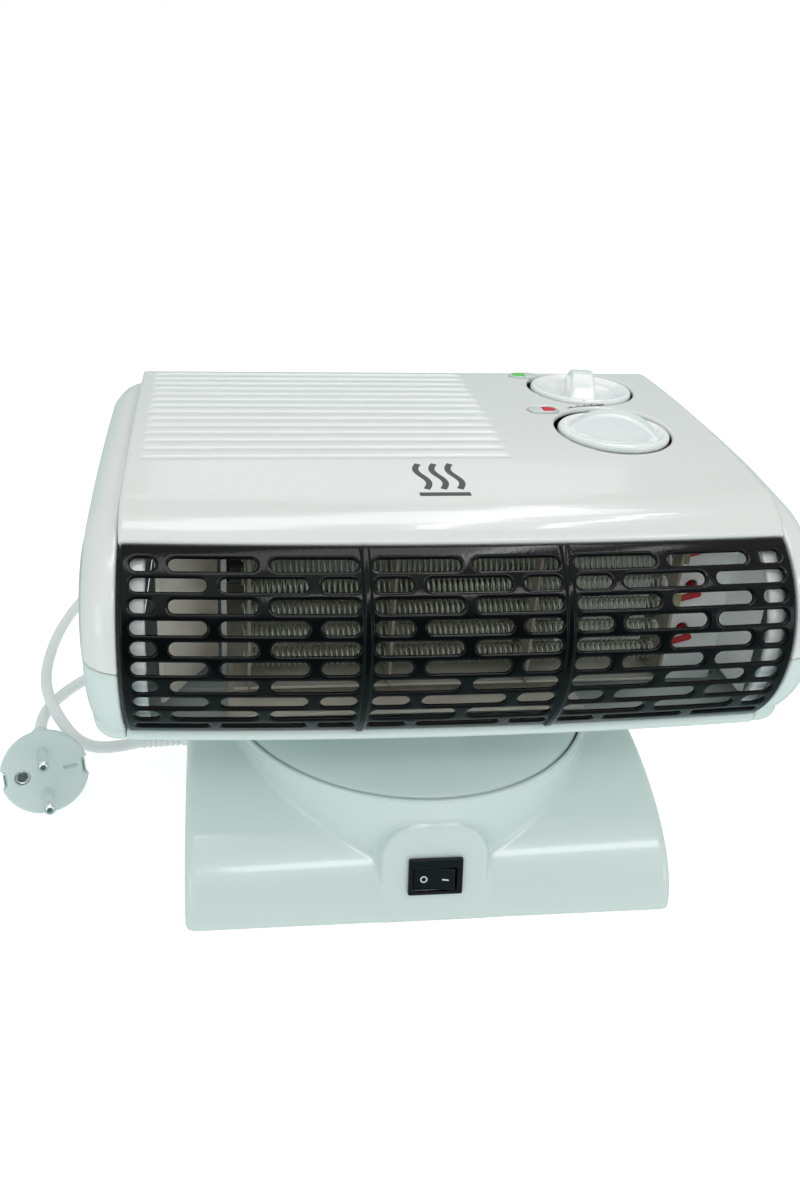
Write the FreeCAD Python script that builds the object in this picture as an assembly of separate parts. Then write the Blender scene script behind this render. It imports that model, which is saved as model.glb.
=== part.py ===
import FreeCAD, Part
import math
import os
from FreeCAD import Vector as V

# Fan convector heater on a swinging base, in millimetres.
# X runs along the heater's front (+X is the user's right), Y runs from the front to the back, Z is up.
# The pieces are drawn about the swivel axis and saved with the origin at the middle of the underside.

# ---- driving dimensions: head ----
SHELL_X = 112.7          # half length of the top and bottom shells
GRILLE_X = 111.7         # half length of the front grille
CAP_X = 125.0            # outer face of an end cap
INSERT_X = 126.6         # outer face of a side insert
WALL = 2.4               # moulded wall thickness
GAP = 0.3                # clearance between neighbouring pieces
FLOOR_Z = 83.7           # underside of the head
CROWN_Z = 175.5          # highest line of the top
REAR_Y = 73.0            # rear wall
REAR_R = 15.5            # rounding between the rear wall and the top or floor
FACE_Y, FACE_Z = -57.0, 118.5     # centre of the front's rounding
FACE_R = 42.4            # outer radius of the grille
FACE_TOP = 119.5         # angles about that centre where the grille begins and ends
FACE_END = 224.0
SPLIT_Z = 117.0          # seam between the upper and lower mouldings
CAP_DROP = 5.0           # the end caps lie this much lower than the crown
CAP_ROUND = 9.0          # rounding of an end cap's rim
CAP_STEPS = 5
INSERT_R = 25.0          # front rounding of a side insert
POST_R = 4.0             # screw posts, their pilot holes, and the clearance holes opposite them
PILOT_R = 1.62
CLEAR_R = 1.9
SHELL_POSTS = (100.0, -40.0, 52.0)     # the posts' place along X, and the front and rear ones' along Y

# ---- driving dimensions: grille slots ----
SLOT_H = 4.4
SLOT_TOP_ANGLE = 129.2
SLOT_STEP = 9.38
RIB_X = 33.2
RIB_PROUD = 0.8
UNIT = 0.81              # one step of the slot pattern along X
ODD_ROW = ((-134, -124), (-119, -84), (-79, -44), (-38, -2.5))
EVEN_ROW = ((-134, -104), (-99, -64), (-59, -44), (-38, -22.5))
ROWS = 9

# ---- driving dimensions: top louvre, controls ----
LOUVRE_X0, LOUVRE_X1 = -107.0, 25.5
LOUVRE_Y0, LOUVRE_Y1 = -34.0, 53.0
LOUVRE_SLOTS = 14
LOUVRE_W = 3.4
THERMOSTAT = (73.4, -9.3)
SELECTOR = (76.0, 38.2)
THERMOSTAT_TOP = 172.8
SELECTOR_TOP = 175.8
THERMOSTAT_TURN, SELECTOR_TURN = -23.0, 75.0       # where the grips point at rest, in degrees from X
DISC_R = 21.2
DISC_H = 4.0
GRIP_H = 6.4
GRIP_L = 36.0
GRIP_T = 11.0
KNOB_GAP = 1.0
SPINDLE_R = 3.0
RED_LAMP = (51.2, 10.8)
GREEN_LAMP = (55.8, 56.0)
LENS_L, LENS_W = 12.5, 8.0

# ---- driving dimensions: blower and heater ----
FAN_Y, FAN_Z = 22.0, 128.0
FAN_R = 30.0
FAN_X0, FAN_X1 = -72.0, 42.0
BLADES = 24
SHAFT_R = 2.5
LEFT_WALL_X = -80.0
RIGHT_WALL_X = 48.0
COIL_R = 3.6
COIL_ROWS = 5
COIL_PITCH = 9.0
COIL_Z0 = 108.0
COIL_Y = -68.0
CARD_X = (-71.0, -22.0, 27.0, 76.0)
LEAD_X = 92.0            # where the heater's leads pass back through the right cheek

# ---- driving dimensions: base ----
BASE_X = 95.0
BASE_Y = 91.0
BASE_H = 47.5
BASE_Z0 = 1.2
TOWER_R = 80.0
TOWER_Z = 50.0
SEAM_R = 78.2
DISC_EDGE_R = 77.6
DISC_UNDER, DISC_RIM_Z = 49.0, 45.5    # underside of the turntable's disc, and of its turned-down rim
DECK_Z = 41.0
NECK_R = 46.0
HUB_R = 14.0
HUB_BORE = 10.0
BOSS_TILT = 13.0
BOSS_HALF = 21.5
BOSS_H, BOSS_CORNER = 42.0, 14.0
SWITCH_UP = 20.5         # middle of the swing switch, up the boss's face
ROCKER_DEPTH = 1.5       # the rocker's axis lies this far behind that face
ROCKER_SWING = 13.0
ROCKER_HALF = 4.9        # half height of the rocker, up the boss's face
PIVOT_R = 1.0
BASE_POSTS = (80.0, 55.0)
FEET = (72.0, 72.0)
HUB_SCREWS = 36 * math.sqrt(0.5)       # X and Y of the four screws between turntable and head
CRANK_Y = 36.0
CRANK_R = 25.2
CRANK_Z = 41.6
MOTOR_TOP = 32.0         # top of the swing motor's can
MOTOR_EARS = 30.0        # X of its two screws
PIN_R = 2.5
SLOT_CLEARANCE = 1.2

# ---- driving dimensions: cord and plug ----
CORD_D = 5.6
CORD_EXIT = V(-BASE_X, 22.0, 9.0)
COIL_CENTRE = (-66.0, 148.0)
COIL_H = 11.4            # two layers of turns
COIL_TURN_R = (38.2, 25.4)
PLUG_FACE = V(-157.0, -16.0, 19.1)
PLUG_AXIS = V(0.219, -0.936, 0.275)
PLUG_LEAN = 2.0          # the pins' line, from upright, in degrees

FRONT_Y = FACE_Y - FACE_R - RIB_PROUD
SHIFT = V(0, -(FRONT_Y + BASE_Y) / 2, 0)


# ---- helpers ----
def save(name, shape):
    shape = shape.copy()
    shape.translate(SHIFT)
    os.makedirs("parts", exist_ok=True)
    shape.exportStep("parts/" + name + ".step")
    kind = "ok" if shape.isValid() else "INVALID"
    print(name, kind, "solids", len(shape.Solids), "volume", round(shape.Volume))


def box(x0, x1, y0, y1, z0, z1):
    return Part.makeBox(x1 - x0, y1 - y0, z1 - z0, V(x0, y0, z0))


def rod(start, direction, radius, length):
    return Part.makeCylinder(radius, length, start, direction)


def tube(start, direction, outer, inner, length):
    return rod(start, direction, outer, length).cut(rod(start, direction, inner, length))


def yz(y, z):
    return V(0, y, z)


def four(x, y):
    """The four corners of a rectangle about the swivel axis."""
    return [(i * x, j * y) for i in (-1, 1) for j in (-1, 1)]


def arc(a, b, c):
    return Part.Arc(a, b, c).toShape()


def line(a, b):
    return Part.LineSegment(a, b).toShape()


def on_face(radius, degrees):
    angle = math.radians(degrees)
    return yz(FACE_Y + radius * math.cos(angle), FACE_Z + radius * math.sin(angle))


def prism(edges, x0, x1):
    """Extrude a closed outline, drawn in the YZ plane, from x0 to x1."""
    face = Part.Face(Part.Wire(edges))
    face.translate(V(x0, 0, 0))
    return face.extrude(V(x1 - x0, 0, 0))


def polygon_yz(points, x0, x1):
    loop = [yz(y, z) for y, z in points]
    edges = [line(loop[i - 1], loop[i]) for i in range(len(loop))]
    return prism(edges, x0, x1)


def polygon_xy(points, z0, z1):
    loop = [V(x, y, z0) for x, y in points]
    edges = [line(loop[i - 1], loop[i]) for i in range(len(loop))]
    return Part.Face(Part.Wire(edges)).extrude(V(0, 0, z1 - z0))


def stadium(length, width, depth):
    """A slot cutter with round ends, long way along X, standing up from Z = 0."""
    r = width / 2
    half = length / 2 - r
    a, b = V(-half, -r, 0), V(half, -r, 0)
    c, d = V(half, r, 0), V(-half, r, 0)
    edges = [line(a, b), arc(b, V(half + r, 0, 0), c), line(c, d), arc(d, V(-half - r, 0, 0), a)]
    return Part.Face(Part.Wire(edges)).extrude(V(0, 0, depth))


def crown(y):
    """Height of the top surface at a place between its front and rear edges."""
    return CROWN_Z + 0.0459 * (y - 57) - 0.000556 * (y - 57) * (y + 4)


def head_outline(inset, drop=0.0, face=0.0):
    """Side outline of the head, drawn in by inset all round, with a lower top and a smaller face."""
    top = inset + drop
    r = FACE_R - inset - face
    rear = REAR_Y - inset
    floor = FLOOR_Z + inset
    rr = max(REAR_R - inset, 4.0)
    bend = rr * math.sqrt(0.5)
    high = crown(rear - rr) - top
    edge = on_face(r, FACE_TOP)
    lip = on_face(r, FACE_END)
    toe = yz(lip.y + 3.0, floor)
    front = yz(-62 + 0.5 * (inset + face), crown(-62) - top)
    shoulder = yz(-71.3 + 0.6 * (inset + face), 161.9 - 0.7 * top)
    return [
        arc(yz(rear - rr, high), yz(-4, crown(-4) - top), front),
        arc(front, shoulder, edge),
        arc(edge, yz(FACE_Y - r, FACE_Z), lip),
        arc(lip, yz(lip.y + 0.4, floor + 1.6), toe),
        line(toe, yz(rear - rr, floor)),
        arc(yz(rear - rr, floor), yz(rear - rr + bend, floor + rr - bend), yz(rear, floor + rr)),
        line(yz(rear, floor + rr), yz(rear, high - rr)),
        arc(yz(rear, high - rr), yz(rear - rr + bend, high - rr + bend), yz(rear - rr, high)),
    ]


def face_sector(outer, inner, start, end, half):
    """Part of a ring about the centre of the front's rounding."""
    middle = (start + end) / 2
    edges = [
        arc(on_face(outer, start), on_face(outer, middle), on_face(outer, end)),
        line(on_face(outer, end), on_face(inner, end)),
        arc(on_face(inner, end), on_face(inner, middle), on_face(inner, start)),
        line(on_face(inner, start), on_face(outer, start)),
    ]
    return prism(edges, -half, half)


# ---- head: shells ----
def oval_cutter(place, length, width):
    cutter = stadium(length, width, 30)
    cutter.translate(V(place[0], place[1], CROWN_Z - 20))
    return cutter


def screw_posts():
    x, front, rear = SHELL_POSTS
    return [(-x, front), (-x, rear), (x, front), (x, rear)]


def head_tube():
    outer = prism(head_outline(0), -SHELL_X, SHELL_X)
    inner = prism(head_outline(WALL), -SHELL_X - 1, SHELL_X + 1)
    window = face_sector(70, 15, FACE_TOP - 0.5, FACE_END + 0.5, SHELL_X + 1)
    return outer.cut(inner).cut(window), inner


def top_shell(skin, inner):
    shell = skin.common(box(-200, 200, -200, 200, SPLIT_Z + 0.1, 300))
    pitch = (LOUVRE_Y1 - LOUVRE_Y0) / (LOUVRE_SLOTS - 1)
    middle = (LOUVRE_X0 + LOUVRE_X1) / 2
    cuts = []
    for i in range(LOUVRE_SLOTS):
        slot = stadium(LOUVRE_X1 - LOUVRE_X0, LOUVRE_W, 30)
        slot.translate(V(middle, LOUVRE_Y0 + i * pitch, CROWN_Z - 20))
        cuts.append(slot)
    for x, y in (THERMOSTAT, SELECTOR):
        cuts.append(rod(V(x, y, CROWN_Z - 12), V(0, 0, 1), DISC_R + KNOB_GAP, 20))
    for lamp in (RED_LAMP, GREEN_LAMP):
        cuts.append(oval_cutter(lamp, LENS_L + 0.4, LENS_W + 0.4))
    shell = shell.cut(Part.makeCompound(cuts))
    additions = []
    for x in (-84, -62, -40, -18, 4):
        bar = box(x - 0.8, x + 0.8, LOUVRE_Y0 - 4, LOUVRE_Y1 + 3, CROWN_Z - 20, CROWN_Z - 1)
        lower = inner.copy()
        lower.translate(V(0, 0, -4))
        additions.append(bar.common(inner).cut(lower))
    for x, y in screw_posts():
        post = tube(V(x, y, SPLIT_Z + 0.1), V(0, 0, 1), POST_R, PILOT_R, 60)
        additions.append(post.common(inner))
    return shell.fuse(additions)


def bottom_shell(skin):
    shell = skin.common(box(-200, 200, -200, 200, 0, SPLIT_Z - 0.1))
    posts = []
    holes = [rod(V(0, 0, 0), V(0, 0, 1), HUB_BORE, 100)]
    for x, y in screw_posts():
        posts.append(rod(V(x, y, FLOOR_Z + 1), V(0, 0, 1), POST_R, SPLIT_Z - FLOOR_Z - 1.1))
        holes.append(rod(V(x, y, 0), V(0, 0, 1), CLEAR_R, 150))
        holes.append(rod(V(x, y, 0), V(0, 0, 1), 3.4, FLOOR_Z + 3))
    for x, y in four(HUB_SCREWS, HUB_SCREWS):
        posts.append(rod(V(x, y, FLOOR_Z + 1), V(0, 0, 1), POST_R, 3.2))
        holes.append(rod(V(x, y, 0), V(0, 0, 1), PILOT_R, 150))
    return shell.fuse(posts).cut(Part.makeCompound(holes))


def outline_at(x, inset):
    wire = Part.Wire(head_outline(inset, CAP_DROP, 1.0))
    wire.translate(V(x, 0, 0))
    return wire


def cap_form(start, wall):
    """The cap's block with its rounded rim, or the hollow in it that leaves the given wall."""
    bend = CAP_ROUND - wall
    sections = [outline_at(start, wall)]
    for step in range(CAP_STEPS + 1):
        angle = math.radians(90 * step / CAP_STEPS)
        x = CAP_X - wall - bend * (1 - math.sin(angle))
        sections.append(outline_at(x, wall + bend * (1 - math.cos(angle))))
    return Part.makeLoft(sections, True, True)


def end_cap(side):
    """The whole cap at one end, drawn at +X and turned over for the left one."""
    cap = cap_form(SHELL_X + 0.2, 0).cut(cap_form(SHELL_X - 1, WALL))
    cap = cap.cut(insert_plate(0.6, CAP_X - 1.2, CAP_X + 5))
    if side < 0:
        cap = cap.mirror(V(0, 0, 0), V(1, 0, 0))
    upper = cap.common(box(-200, 200, -200, 200, SPLIT_Z + 0.1, 300))
    lower = cap.common(box(-200, 200, -200, 200, 0, SPLIT_Z - 0.1))
    return upper, lower


def insert_plate(grow, x0, x1):
    """The rounded panel let into an end cap, larger all round by grow."""
    r = INSERT_R + grow
    top0, top1 = yz(FACE_Y, FACE_Z + r), yz(46, 152 + grow)
    rear0, rear1 = yz(56 + grow, 142), yz(56 + grow, 108)
    low1, low0 = yz(46, 98 - grow), yz(FACE_Y, FACE_Z - r)
    bend = (10 + grow) * math.sqrt(0.5)
    edges = [
        line(top0, top1),
        arc(top1, yz(46 + bend, 142 + bend), rear0),
        line(rear0, rear1),
        arc(rear1, yz(46 + bend, 108 - bend), low1),
        line(low1, low0),
        arc(low0, yz(FACE_Y - r, FACE_Z), top0),
    ]
    return prism(edges, x0, x1)


def side_insert(side):
    plate = insert_plate(0, CAP_X - 1.1, INSERT_X)
    return plate if side > 0 else plate.mirror(V(0, 0, 0), V(1, 0, 0))


def slot_spans():
    """Each row's angle on the face, and where its slots begin and end in pattern steps."""
    for row in range(ROWS):
        half = EVEN_ROW if row % 2 else ODD_ROW
        middle = [(-17.5, 17.5)] if row % 2 else []
        yield SLOT_TOP_ANGLE + row * SLOT_STEP, list(half) + middle + [(-b, -a) for a, b in half]


def front_grille():
    plate = face_sector(FACE_R, FACE_R - WALL, FACE_TOP, FACE_END - 1.5, GRILLE_X)
    cuts = []
    for angle, spans in slot_spans():
        for a, b in spans:
            slot = stadium((b - a) * UNIT, SLOT_H, 12)
            slot.translate(V((a + b) / 2 * UNIT, 0, FACE_R - 8))
            slot.rotate(V(0, 0, 0), V(1, 0, 0), angle - 90)
            slot.translate(V(0, FACE_Y, FACE_Z))
            cuts.append(slot)
    plate = plate.cut(Part.makeCompound(cuts))
    ribs = []
    for x in (-RIB_X, RIB_X):
        rib = face_sector(FACE_R + RIB_PROUD, FACE_R - WALL - 0.5, FACE_TOP + 1, FACE_END - 3, 1.3)
        rib.translate(V(x, 0, 0))
        ribs.append(rib)
    return plate.fuse(ribs)


def shell_screws():
    screws = []
    for x, y in screw_posts():
        head = rod(V(x, y, FLOOR_Z + 1), V(0, 0, 1), 3.2, 2)
        screws.append(head.fuse(rod(V(x, y, FLOOR_Z + 3), V(0, 0, 1), 1.6, 46)))
    return Part.makeCompound(screws)


# ---- head: blower ----
def side_wall(x):
    low = FLOOR_Z + WALL + 0.2
    return polygon_yz([(-46, low), (58, low), (69.5, 97), (69.5, 161), (-46, 161)], x, x + 2)


def left_partition():
    wall = side_wall(LEFT_WALL_X)
    wall = wall.fuse(rod(V(LEFT_WALL_X - 5, FAN_Y, FAN_Z), V(1, 0, 0), 8, 5))
    return wall.cut(rod(V(LEFT_WALL_X - 9, FAN_Y, FAN_Z), V(1, 0, 0), 6, 20))


def right_partition():
    wall = side_wall(RIGHT_WALL_X)
    posts = [rod(V(RIGHT_WALL_X + 2, FAN_Y + dy, FAN_Z), V(1, 0, 0), 3, 4) for dy in (-20, 20)]
    return wall.fuse(posts).cut(rod(V(RIGHT_WALL_X - 1, FAN_Y, FAN_Z), V(1, 0, 0), 6, 10))


def shaft_bush():
    return tube(V(LEFT_WALL_X - 5, FAN_Y, FAN_Z), V(1, 0, 0), 5.98, SHAFT_R + 0.05, 7)


def scroll_plate():
    """Sheet that wraps the impeller from under the front round the back to the top."""
    def at(radius, degrees):
        angle = math.radians(degrees)
        return yz(FAN_Y + radius * math.cos(angle), FAN_Z + radius * math.sin(angle))
    outer, inner = FAN_R + 6, FAN_R + 5
    edges = [
        arc(at(outer, -95), at(outer, -20), at(outer, 58)),
        line(at(outer, 58), at(inner, 58)),
        arc(at(inner, 58), at(inner, -20), at(inner, -95)),
        line(at(inner, -95), at(outer, -95)),
    ]
    return prism(edges, LEFT_WALL_X + 2.2, RIGHT_WALL_X - 0.2)


def duct_floor():
    points = [(-84, 93.5), (-50, 90.5), (18, 91), (18, 92), (-50, 91.5), (-83.6, 94.5)]
    return polygon_yz(points, LEFT_WALL_X + 2.2, RIGHT_WALL_X - 0.2)


def tongue_plate():
    points = [(-14, 132), (-13, 132), (-11, 152), (-69, 158.2), (-69, 157), (-12.2, 150.9)]
    return polygon_yz(points, LEFT_WALL_X + 2.2, RIGHT_WALL_X - 0.2)


def left_cheek():
    points = [(-81.2, -47), (-99.8, -77.5), (-101, -77.5), (-101, -76.4), (-82.6, -46.2), (-81.2, -46.2)]
    return polygon_xy(points, 96, 152)


def right_cheek():
    """Slanting cheek with lead holes, turned forward at its outer end into a side wall."""
    points = [(50.2, -44), (51.5, -44), (80, -58.2), (106.9, -58.2), (106.9, -56.7), (79.6, -56.7), (50.2, -42)]
    holes = [rod(V(LEAD_X, -70, z + 2.5), V(0, 1, 0), 2.4, 20) for z in coil_heights()[::2]]
    wall = box(106.9, 108.2, -80, -56.7, 96, 144)
    return polygon_xy(points, 88, 156).cut(Part.makeCompound(holes)).fuse(wall)


def impeller():
    body = []
    for x in (FAN_X0, (FAN_X0 + FAN_X1) / 2 - 0.8, FAN_X1 - 1.6):
        ring = rod(V(x, FAN_Y, FAN_Z), V(1, 0, 0), FAN_R, 1.6)
        body.append(ring)
    blade = box(FAN_X0, FAN_X1, -0.5, 0.5, FAN_R - 8, FAN_R - 0.3)
    blade.rotate(V(0, 0, FAN_R - 4), V(1, 0, 0), 35)
    blade = blade.common(rod(V(FAN_X0, 0, 0), V(1, 0, 0), FAN_R - 0.3, FAN_X1 - FAN_X0))
    for i in range(BLADES):
        one = blade.copy()
        one.rotate(V(0, 0, 0), V(1, 0, 0), i * 360 / BLADES)
        one.translate(V(0, FAN_Y, FAN_Z))
        body.append(one)
    hub = rod(V(FAN_X0, FAN_Y, FAN_Z), V(1, 0, 0), 6, 10)
    hub = hub.fuse(rod(V(FAN_X1 - 10, FAN_Y, FAN_Z), V(1, 0, 0), 6, 10))
    solid = body[0].fuse(body[1:] + [hub])
    return solid.cut(rod(V(FAN_X0 - 1, FAN_Y, FAN_Z), V(1, 0, 0), SHAFT_R, FAN_X1 - FAN_X0 + 2))


def motor_stator():
    stack = box(60, 74, -2, 46, 92, 144)
    stack = stack.cut(rod(V(59, FAN_Y, FAN_Z), V(1, 0, 0), 12, 20))
    return stack.cut(box(59, 75, 8, 36, 100, 112))


def motor_winding():
    winding = box(54, 80, 9, 35, 86.8, 110.5)
    return winding.cut(box(59.7, 74.3, 8, 36, 91.7, 100.3))


def motor_rotor():
    rotor = rod(V(60.5, FAN_Y, FAN_Z), V(1, 0, 0), 11.5, 13)
    return rotor.cut(rod(V(60, FAN_Y, FAN_Z), V(1, 0, 0), SHAFT_R, 14))


def motor_brackets():
    """A strip across each end of the stator, its feet on the stack and a bearing for the shaft in its middle."""
    brackets = []
    for strip_x, foot_x0, foot_x1 in ((54, 54, 60), (78, 74, 78)):
        strip = box(strip_x, strip_x + 2, -2, 46, 122, 134)
        feet = [box(foot_x0, foot_x1, y, y + 5, 123, 133) for y in (-2, 41)]
        bearing = rod(V(strip_x - 1, FAN_Y, FAN_Z), V(1, 0, 0), 6, 4)
        bore = rod(V(strip_x - 2, FAN_Y, FAN_Z), V(1, 0, 0), SHAFT_R + 0.05, 6)
        brackets.append(strip.fuse(feet + [bearing]).cut(bore))
    return Part.makeCompound(brackets)


# ---- head: heater and controls ----
def coil_heights():
    return [COIL_Z0 + i * COIL_PITCH for i in range(COIL_ROWS)]


def heating_coils():
    coils = [rod(V(-73, COIL_Y, z), V(1, 0, 0), COIL_R, 151) for z in coil_heights()]
    return Part.makeCompound(coils)


def mica_cards():
    cards = []
    for x in CARD_X:
        card = box(x, x + 1, COIL_Y - 9, COIL_Y + 9, 100.2, 151.8)
        for z in coil_heights():
            card = card.cut(rod(V(x - 1, COIL_Y, z), V(1, 0, 0), COIL_R + 0.15, 3))
        cards.append(card)
    return Part.makeCompound(cards)


def heater_rails():
    rails = []
    for z in (99, 152):
        rails.append(box(-76, 78, COIL_Y - 7, COIL_Y + 9.5, z, z + 1))
    return Part.makeCompound(rails)


def heater_terminals():
    tabs = [box(79, 85, COIL_Y + 2, COIL_Y + 2.8, z - 3, z + 3) for z in coil_heights()[::2]]
    return Part.makeCompound(tabs)


def thermal_cutout():
    body = rod(V(-77.9, -40, 138), V(1, 0, 0), 8, 7)
    return body.fuse(box(-77.9, -76.9, -43, -37, 125, 151))


def control_body(place, radius, top):
    x, y = place
    body = rod(V(x, y, top - 23), V(0, 0, 1), radius, 18)
    body = body.fuse(rod(V(x, y, top - 5), V(0, 0, 1), 5, 4))
    return body.cut(rod(V(x, y, top - 16), V(0, 0, 1), SPINDLE_R + 0.05, 20))


def selector_body(top):
    x, y = SELECTOR
    body = box(x - 14, x + 14, y - 11, y + 11, top - 23, top - 5)
    body = body.fuse(rod(V(x, y, top - 5), V(0, 0, 1), 5, 4))
    return body.cut(rod(V(x, y, top - 16), V(0, 0, 1), SPINDLE_R + 0.05, 20))


def spindle(place, top):
    return rod(V(place[0], place[1], top - 15), V(0, 0, 1), SPINDLE_R, 17)


def knob(place, top, turn):
    """A dished disc with a half-moon grip across it; top is the height of the disc's rim."""
    disc = rod(V(0, 0, -DISC_H), V(0, 0, 1), DISC_R, DISC_H)
    rim = [e for e in disc.Edges if abs(e.BoundBox.ZMin) < 0.01 and e.BoundBox.ZLength < 0.01]
    disc = disc.makeFillet(1.2, rim)
    dish = Part.makeCone(DISC_R - 7, DISC_R - 2.5, 1.6, V(0, 0, -1.6), V(0, 0, 1))
    disc = disc.cut(dish)
    half = GRIP_L / 2
    a, b = V(-half, 0, -2), V(half, 0, -2)
    moon = Part.Wire([arc(a, V(0, 0, GRIP_H), b), line(b, a)])
    face = Part.Face(moon)
    face.translate(V(0, -GRIP_T / 2, 0))
    grip = face.extrude(V(0, GRIP_T, 0))
    piece = disc.fuse(grip).cut(rod(V(0, 0, -DISC_H), V(0, 0, 1), SPINDLE_R, 5.5))
    piece.rotate(V(0, 0, 0), V(0, 0, 1), turn)
    piece.translate(V(place[0], place[1], top))
    return piece


def lens(place):
    x, y = place
    piece = stadium(LENS_L, LENS_W, WALL + 0.6)
    piece.translate(V(x, y, crown(y) - WALL))
    return piece


def lamp(place):
    x, y = place
    return box(x - 1, x + 5, y - 2.5, y + 2.5, crown(y) - WALL - 9, crown(y) - WALL - 0.1)


def red_leads():
    """Three insulated leads from the heater's terminals back through the cheek and up to the selector."""
    leads = []
    for i, z in enumerate(coil_heights()[::2]):
        up = 3 * i
        points = [(85.1, COIL_Y + 4.2, z), (LEAD_X, -64, z + 2), (LEAD_X, -52, z + 3), (LEAD_X - 3, 6, 138 + up),
                  (LEAD_X, 34, 152 + up)]
        corners = [V(*p) for p in points]
        pieces = [rod(a, b - a, 1.2, (b - a).Length) for a, b in zip(corners, corners[1:])]
        pieces += [Part.makeSphere(1.2, c) for c in corners[1:-1]]
        leads.append(pieces[0].fuse(pieces[1:]))
    return Part.makeCompound(leads)


def terminal_block():
    block = box(84, 96, 10, 34, FLOOR_Z + WALL, FLOOR_Z + WALL + 14)
    wells = [rod(V(90, y, FLOOR_Z + WALL + 6), V(0, 0, 1), 2.2, 20) for y in (14, 22, 30)]
    return block.cut(Part.makeCompound(wells))


# ---- base ----
def loaf(half_x, half_y, height, z0):
    """Half an elliptic cylinder lying along X, cut off at z0."""
    edge = Part.Ellipse(V(0, 0, 0), half_y, height).toShape()
    edge.rotate(V(0, 0, 0), V(0, 0, 1), 90)
    edge.rotate(V(0, 0, 0), V(0, 1, 0), 90)
    face = Part.Face(Part.Wire([edge]))
    face.translate(V(-half_x, 0, 0))
    solid = face.extrude(V(2 * half_x, 0, 0))
    return solid.common(box(-half_x - 1, half_x + 1, -half_y - 1, half_y + 1, z0, height + 1))


def tombstone(half, height, corner, depth):
    """Outline with a rounded top, standing in the XZ plane and extruded towards +Y."""
    mid = corner * math.sqrt(0.5)
    a, b = V(-half, 0, 0), V(half, 0, 0)
    c, d = V(half, 0, height - corner), V(half - corner, 0, height)
    e, f = V(-half + corner, 0, height), V(-half, 0, height - corner)
    right = V(half - corner + mid, 0, height - corner + mid)
    left = V(-half + corner - mid, 0, height - corner + mid)
    edges = [line(a, b), line(b, c), arc(c, right, d), line(d, e), arc(e, left, f), line(f, a)]
    return Part.Face(Part.Wire(edges)).extrude(V(0, depth, 0))


def boss_solid(inset):
    """The switch boss, its face leaning back and its foot on the loaf's front edge."""
    piece = tombstone(BOSS_HALF - inset, BOSS_H - inset, BOSS_CORNER - inset, 16)
    piece.translate(V(0, inset, 0))
    piece.rotate(V(0, 0, 0), V(1, 0, 0), -BOSS_TILT)
    piece.translate(V(0, -BASE_Y + 0.1, 0))
    return piece


def on_boss(x, up, out):
    """A point on the boss's face: up along the leaning face, out in front of it."""
    tilt = math.radians(BOSS_TILT)
    y = -BASE_Y + 0.1 + up * math.sin(tilt) - out * math.cos(tilt)
    return V(x, y, up * math.cos(tilt) + out * math.sin(tilt))


def on_switch(shape):
    """Move a shape drawn about the switch's face centre (-Y outward) to its place on the boss."""
    shape = shape.copy()
    shape.rotate(V(0, 0, 0), V(1, 0, 0), -BOSS_TILT)
    shape.translate(on_boss(0, SWITCH_UP, 0))
    return shape


def base_housing():
    clip = box(-BASE_X - 1, BASE_X + 1, -BASE_Y - 20, BASE_Y + 1, BASE_Z0, 100)
    outer = loaf(BASE_X, BASE_Y, BASE_H, BASE_Z0)
    ends = [e for e in outer.Edges if e.BoundBox.XLength < 0.01 and e.BoundBox.ZLength > 10]
    outer = outer.makeFillet(3.5, ends)
    tower = rod(V(0, 0, 5), V(0, 0, 1), TOWER_R, TOWER_Z - 5)
    lip = [e for e in tower.Edges if abs(e.BoundBox.ZMin - TOWER_Z) < 0.01 and e.BoundBox.ZLength < 0.01]
    tower = tower.makeFillet(1.0, lip)
    outer = outer.fuse([tower, boss_solid(0).common(clip)])
    inner = loaf(BASE_X - WALL, BASE_Y - WALL, BASE_H - WALL, 0)
    inner = inner.fuse([rod(V(0, 0, 0), V(0, 0, 1), TOWER_R - WALL, DECK_Z - 0.5), boss_solid(WALL)])
    well = rod(V(0, 0, DECK_Z), V(0, 0, 1), SEAM_R, 40)
    deck = rod(V(0, 0, DECK_Z - WALL), V(0, 0, 1), TOWER_R - 1, WALL)
    inner = inner.cut(rod(V(0, 0, DECK_Z - WALL), V(0, 0, 1), TOWER_R - 1, 40))
    shell = outer.cut(well).cut(inner).fuse(deck)
    posts = [rod(V(x, y, BASE_Z0 + 2.5), V(0, 0, 1), POST_R, 30) for x, y in four(*BASE_POSTS)]
    limit = loaf(BASE_X - 1, BASE_Y - 1, BASE_H - 1, 0)
    shell = shell.fuse([post.common(limit) for post in posts])
    shell = shell.fuse([
        tube(V(x, CRANK_Y, MOTOR_TOP), V(0, 0, 1), POST_R, PILOT_R, DECK_Z - WALL - MOTOR_TOP + 0.1)
        for x in (-MOTOR_EARS, MOTOR_EARS)
    ])
    cuts = [rod(V(x, y, 0), V(0, 0, 1), PILOT_R, 20) for x, y in four(*BASE_POSTS)]
    cuts.append(rod(V(0, 0, 30), V(0, 0, 1), HUB_R + 3.02, 30))
    cuts.append(rod(V(0, CRANK_Y, 30), V(0, 0, 1), 5, 30))
    cuts.append(on_switch(box(-9.6, 9.6, -5, 25, -6.6, 6.6)))
    cuts.append(rod(CORD_EXIT - V(5, 0, 0), V(1, 0, 0), 4.3, 20))
    return shell.cut(Part.makeCompound(cuts))


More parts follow.
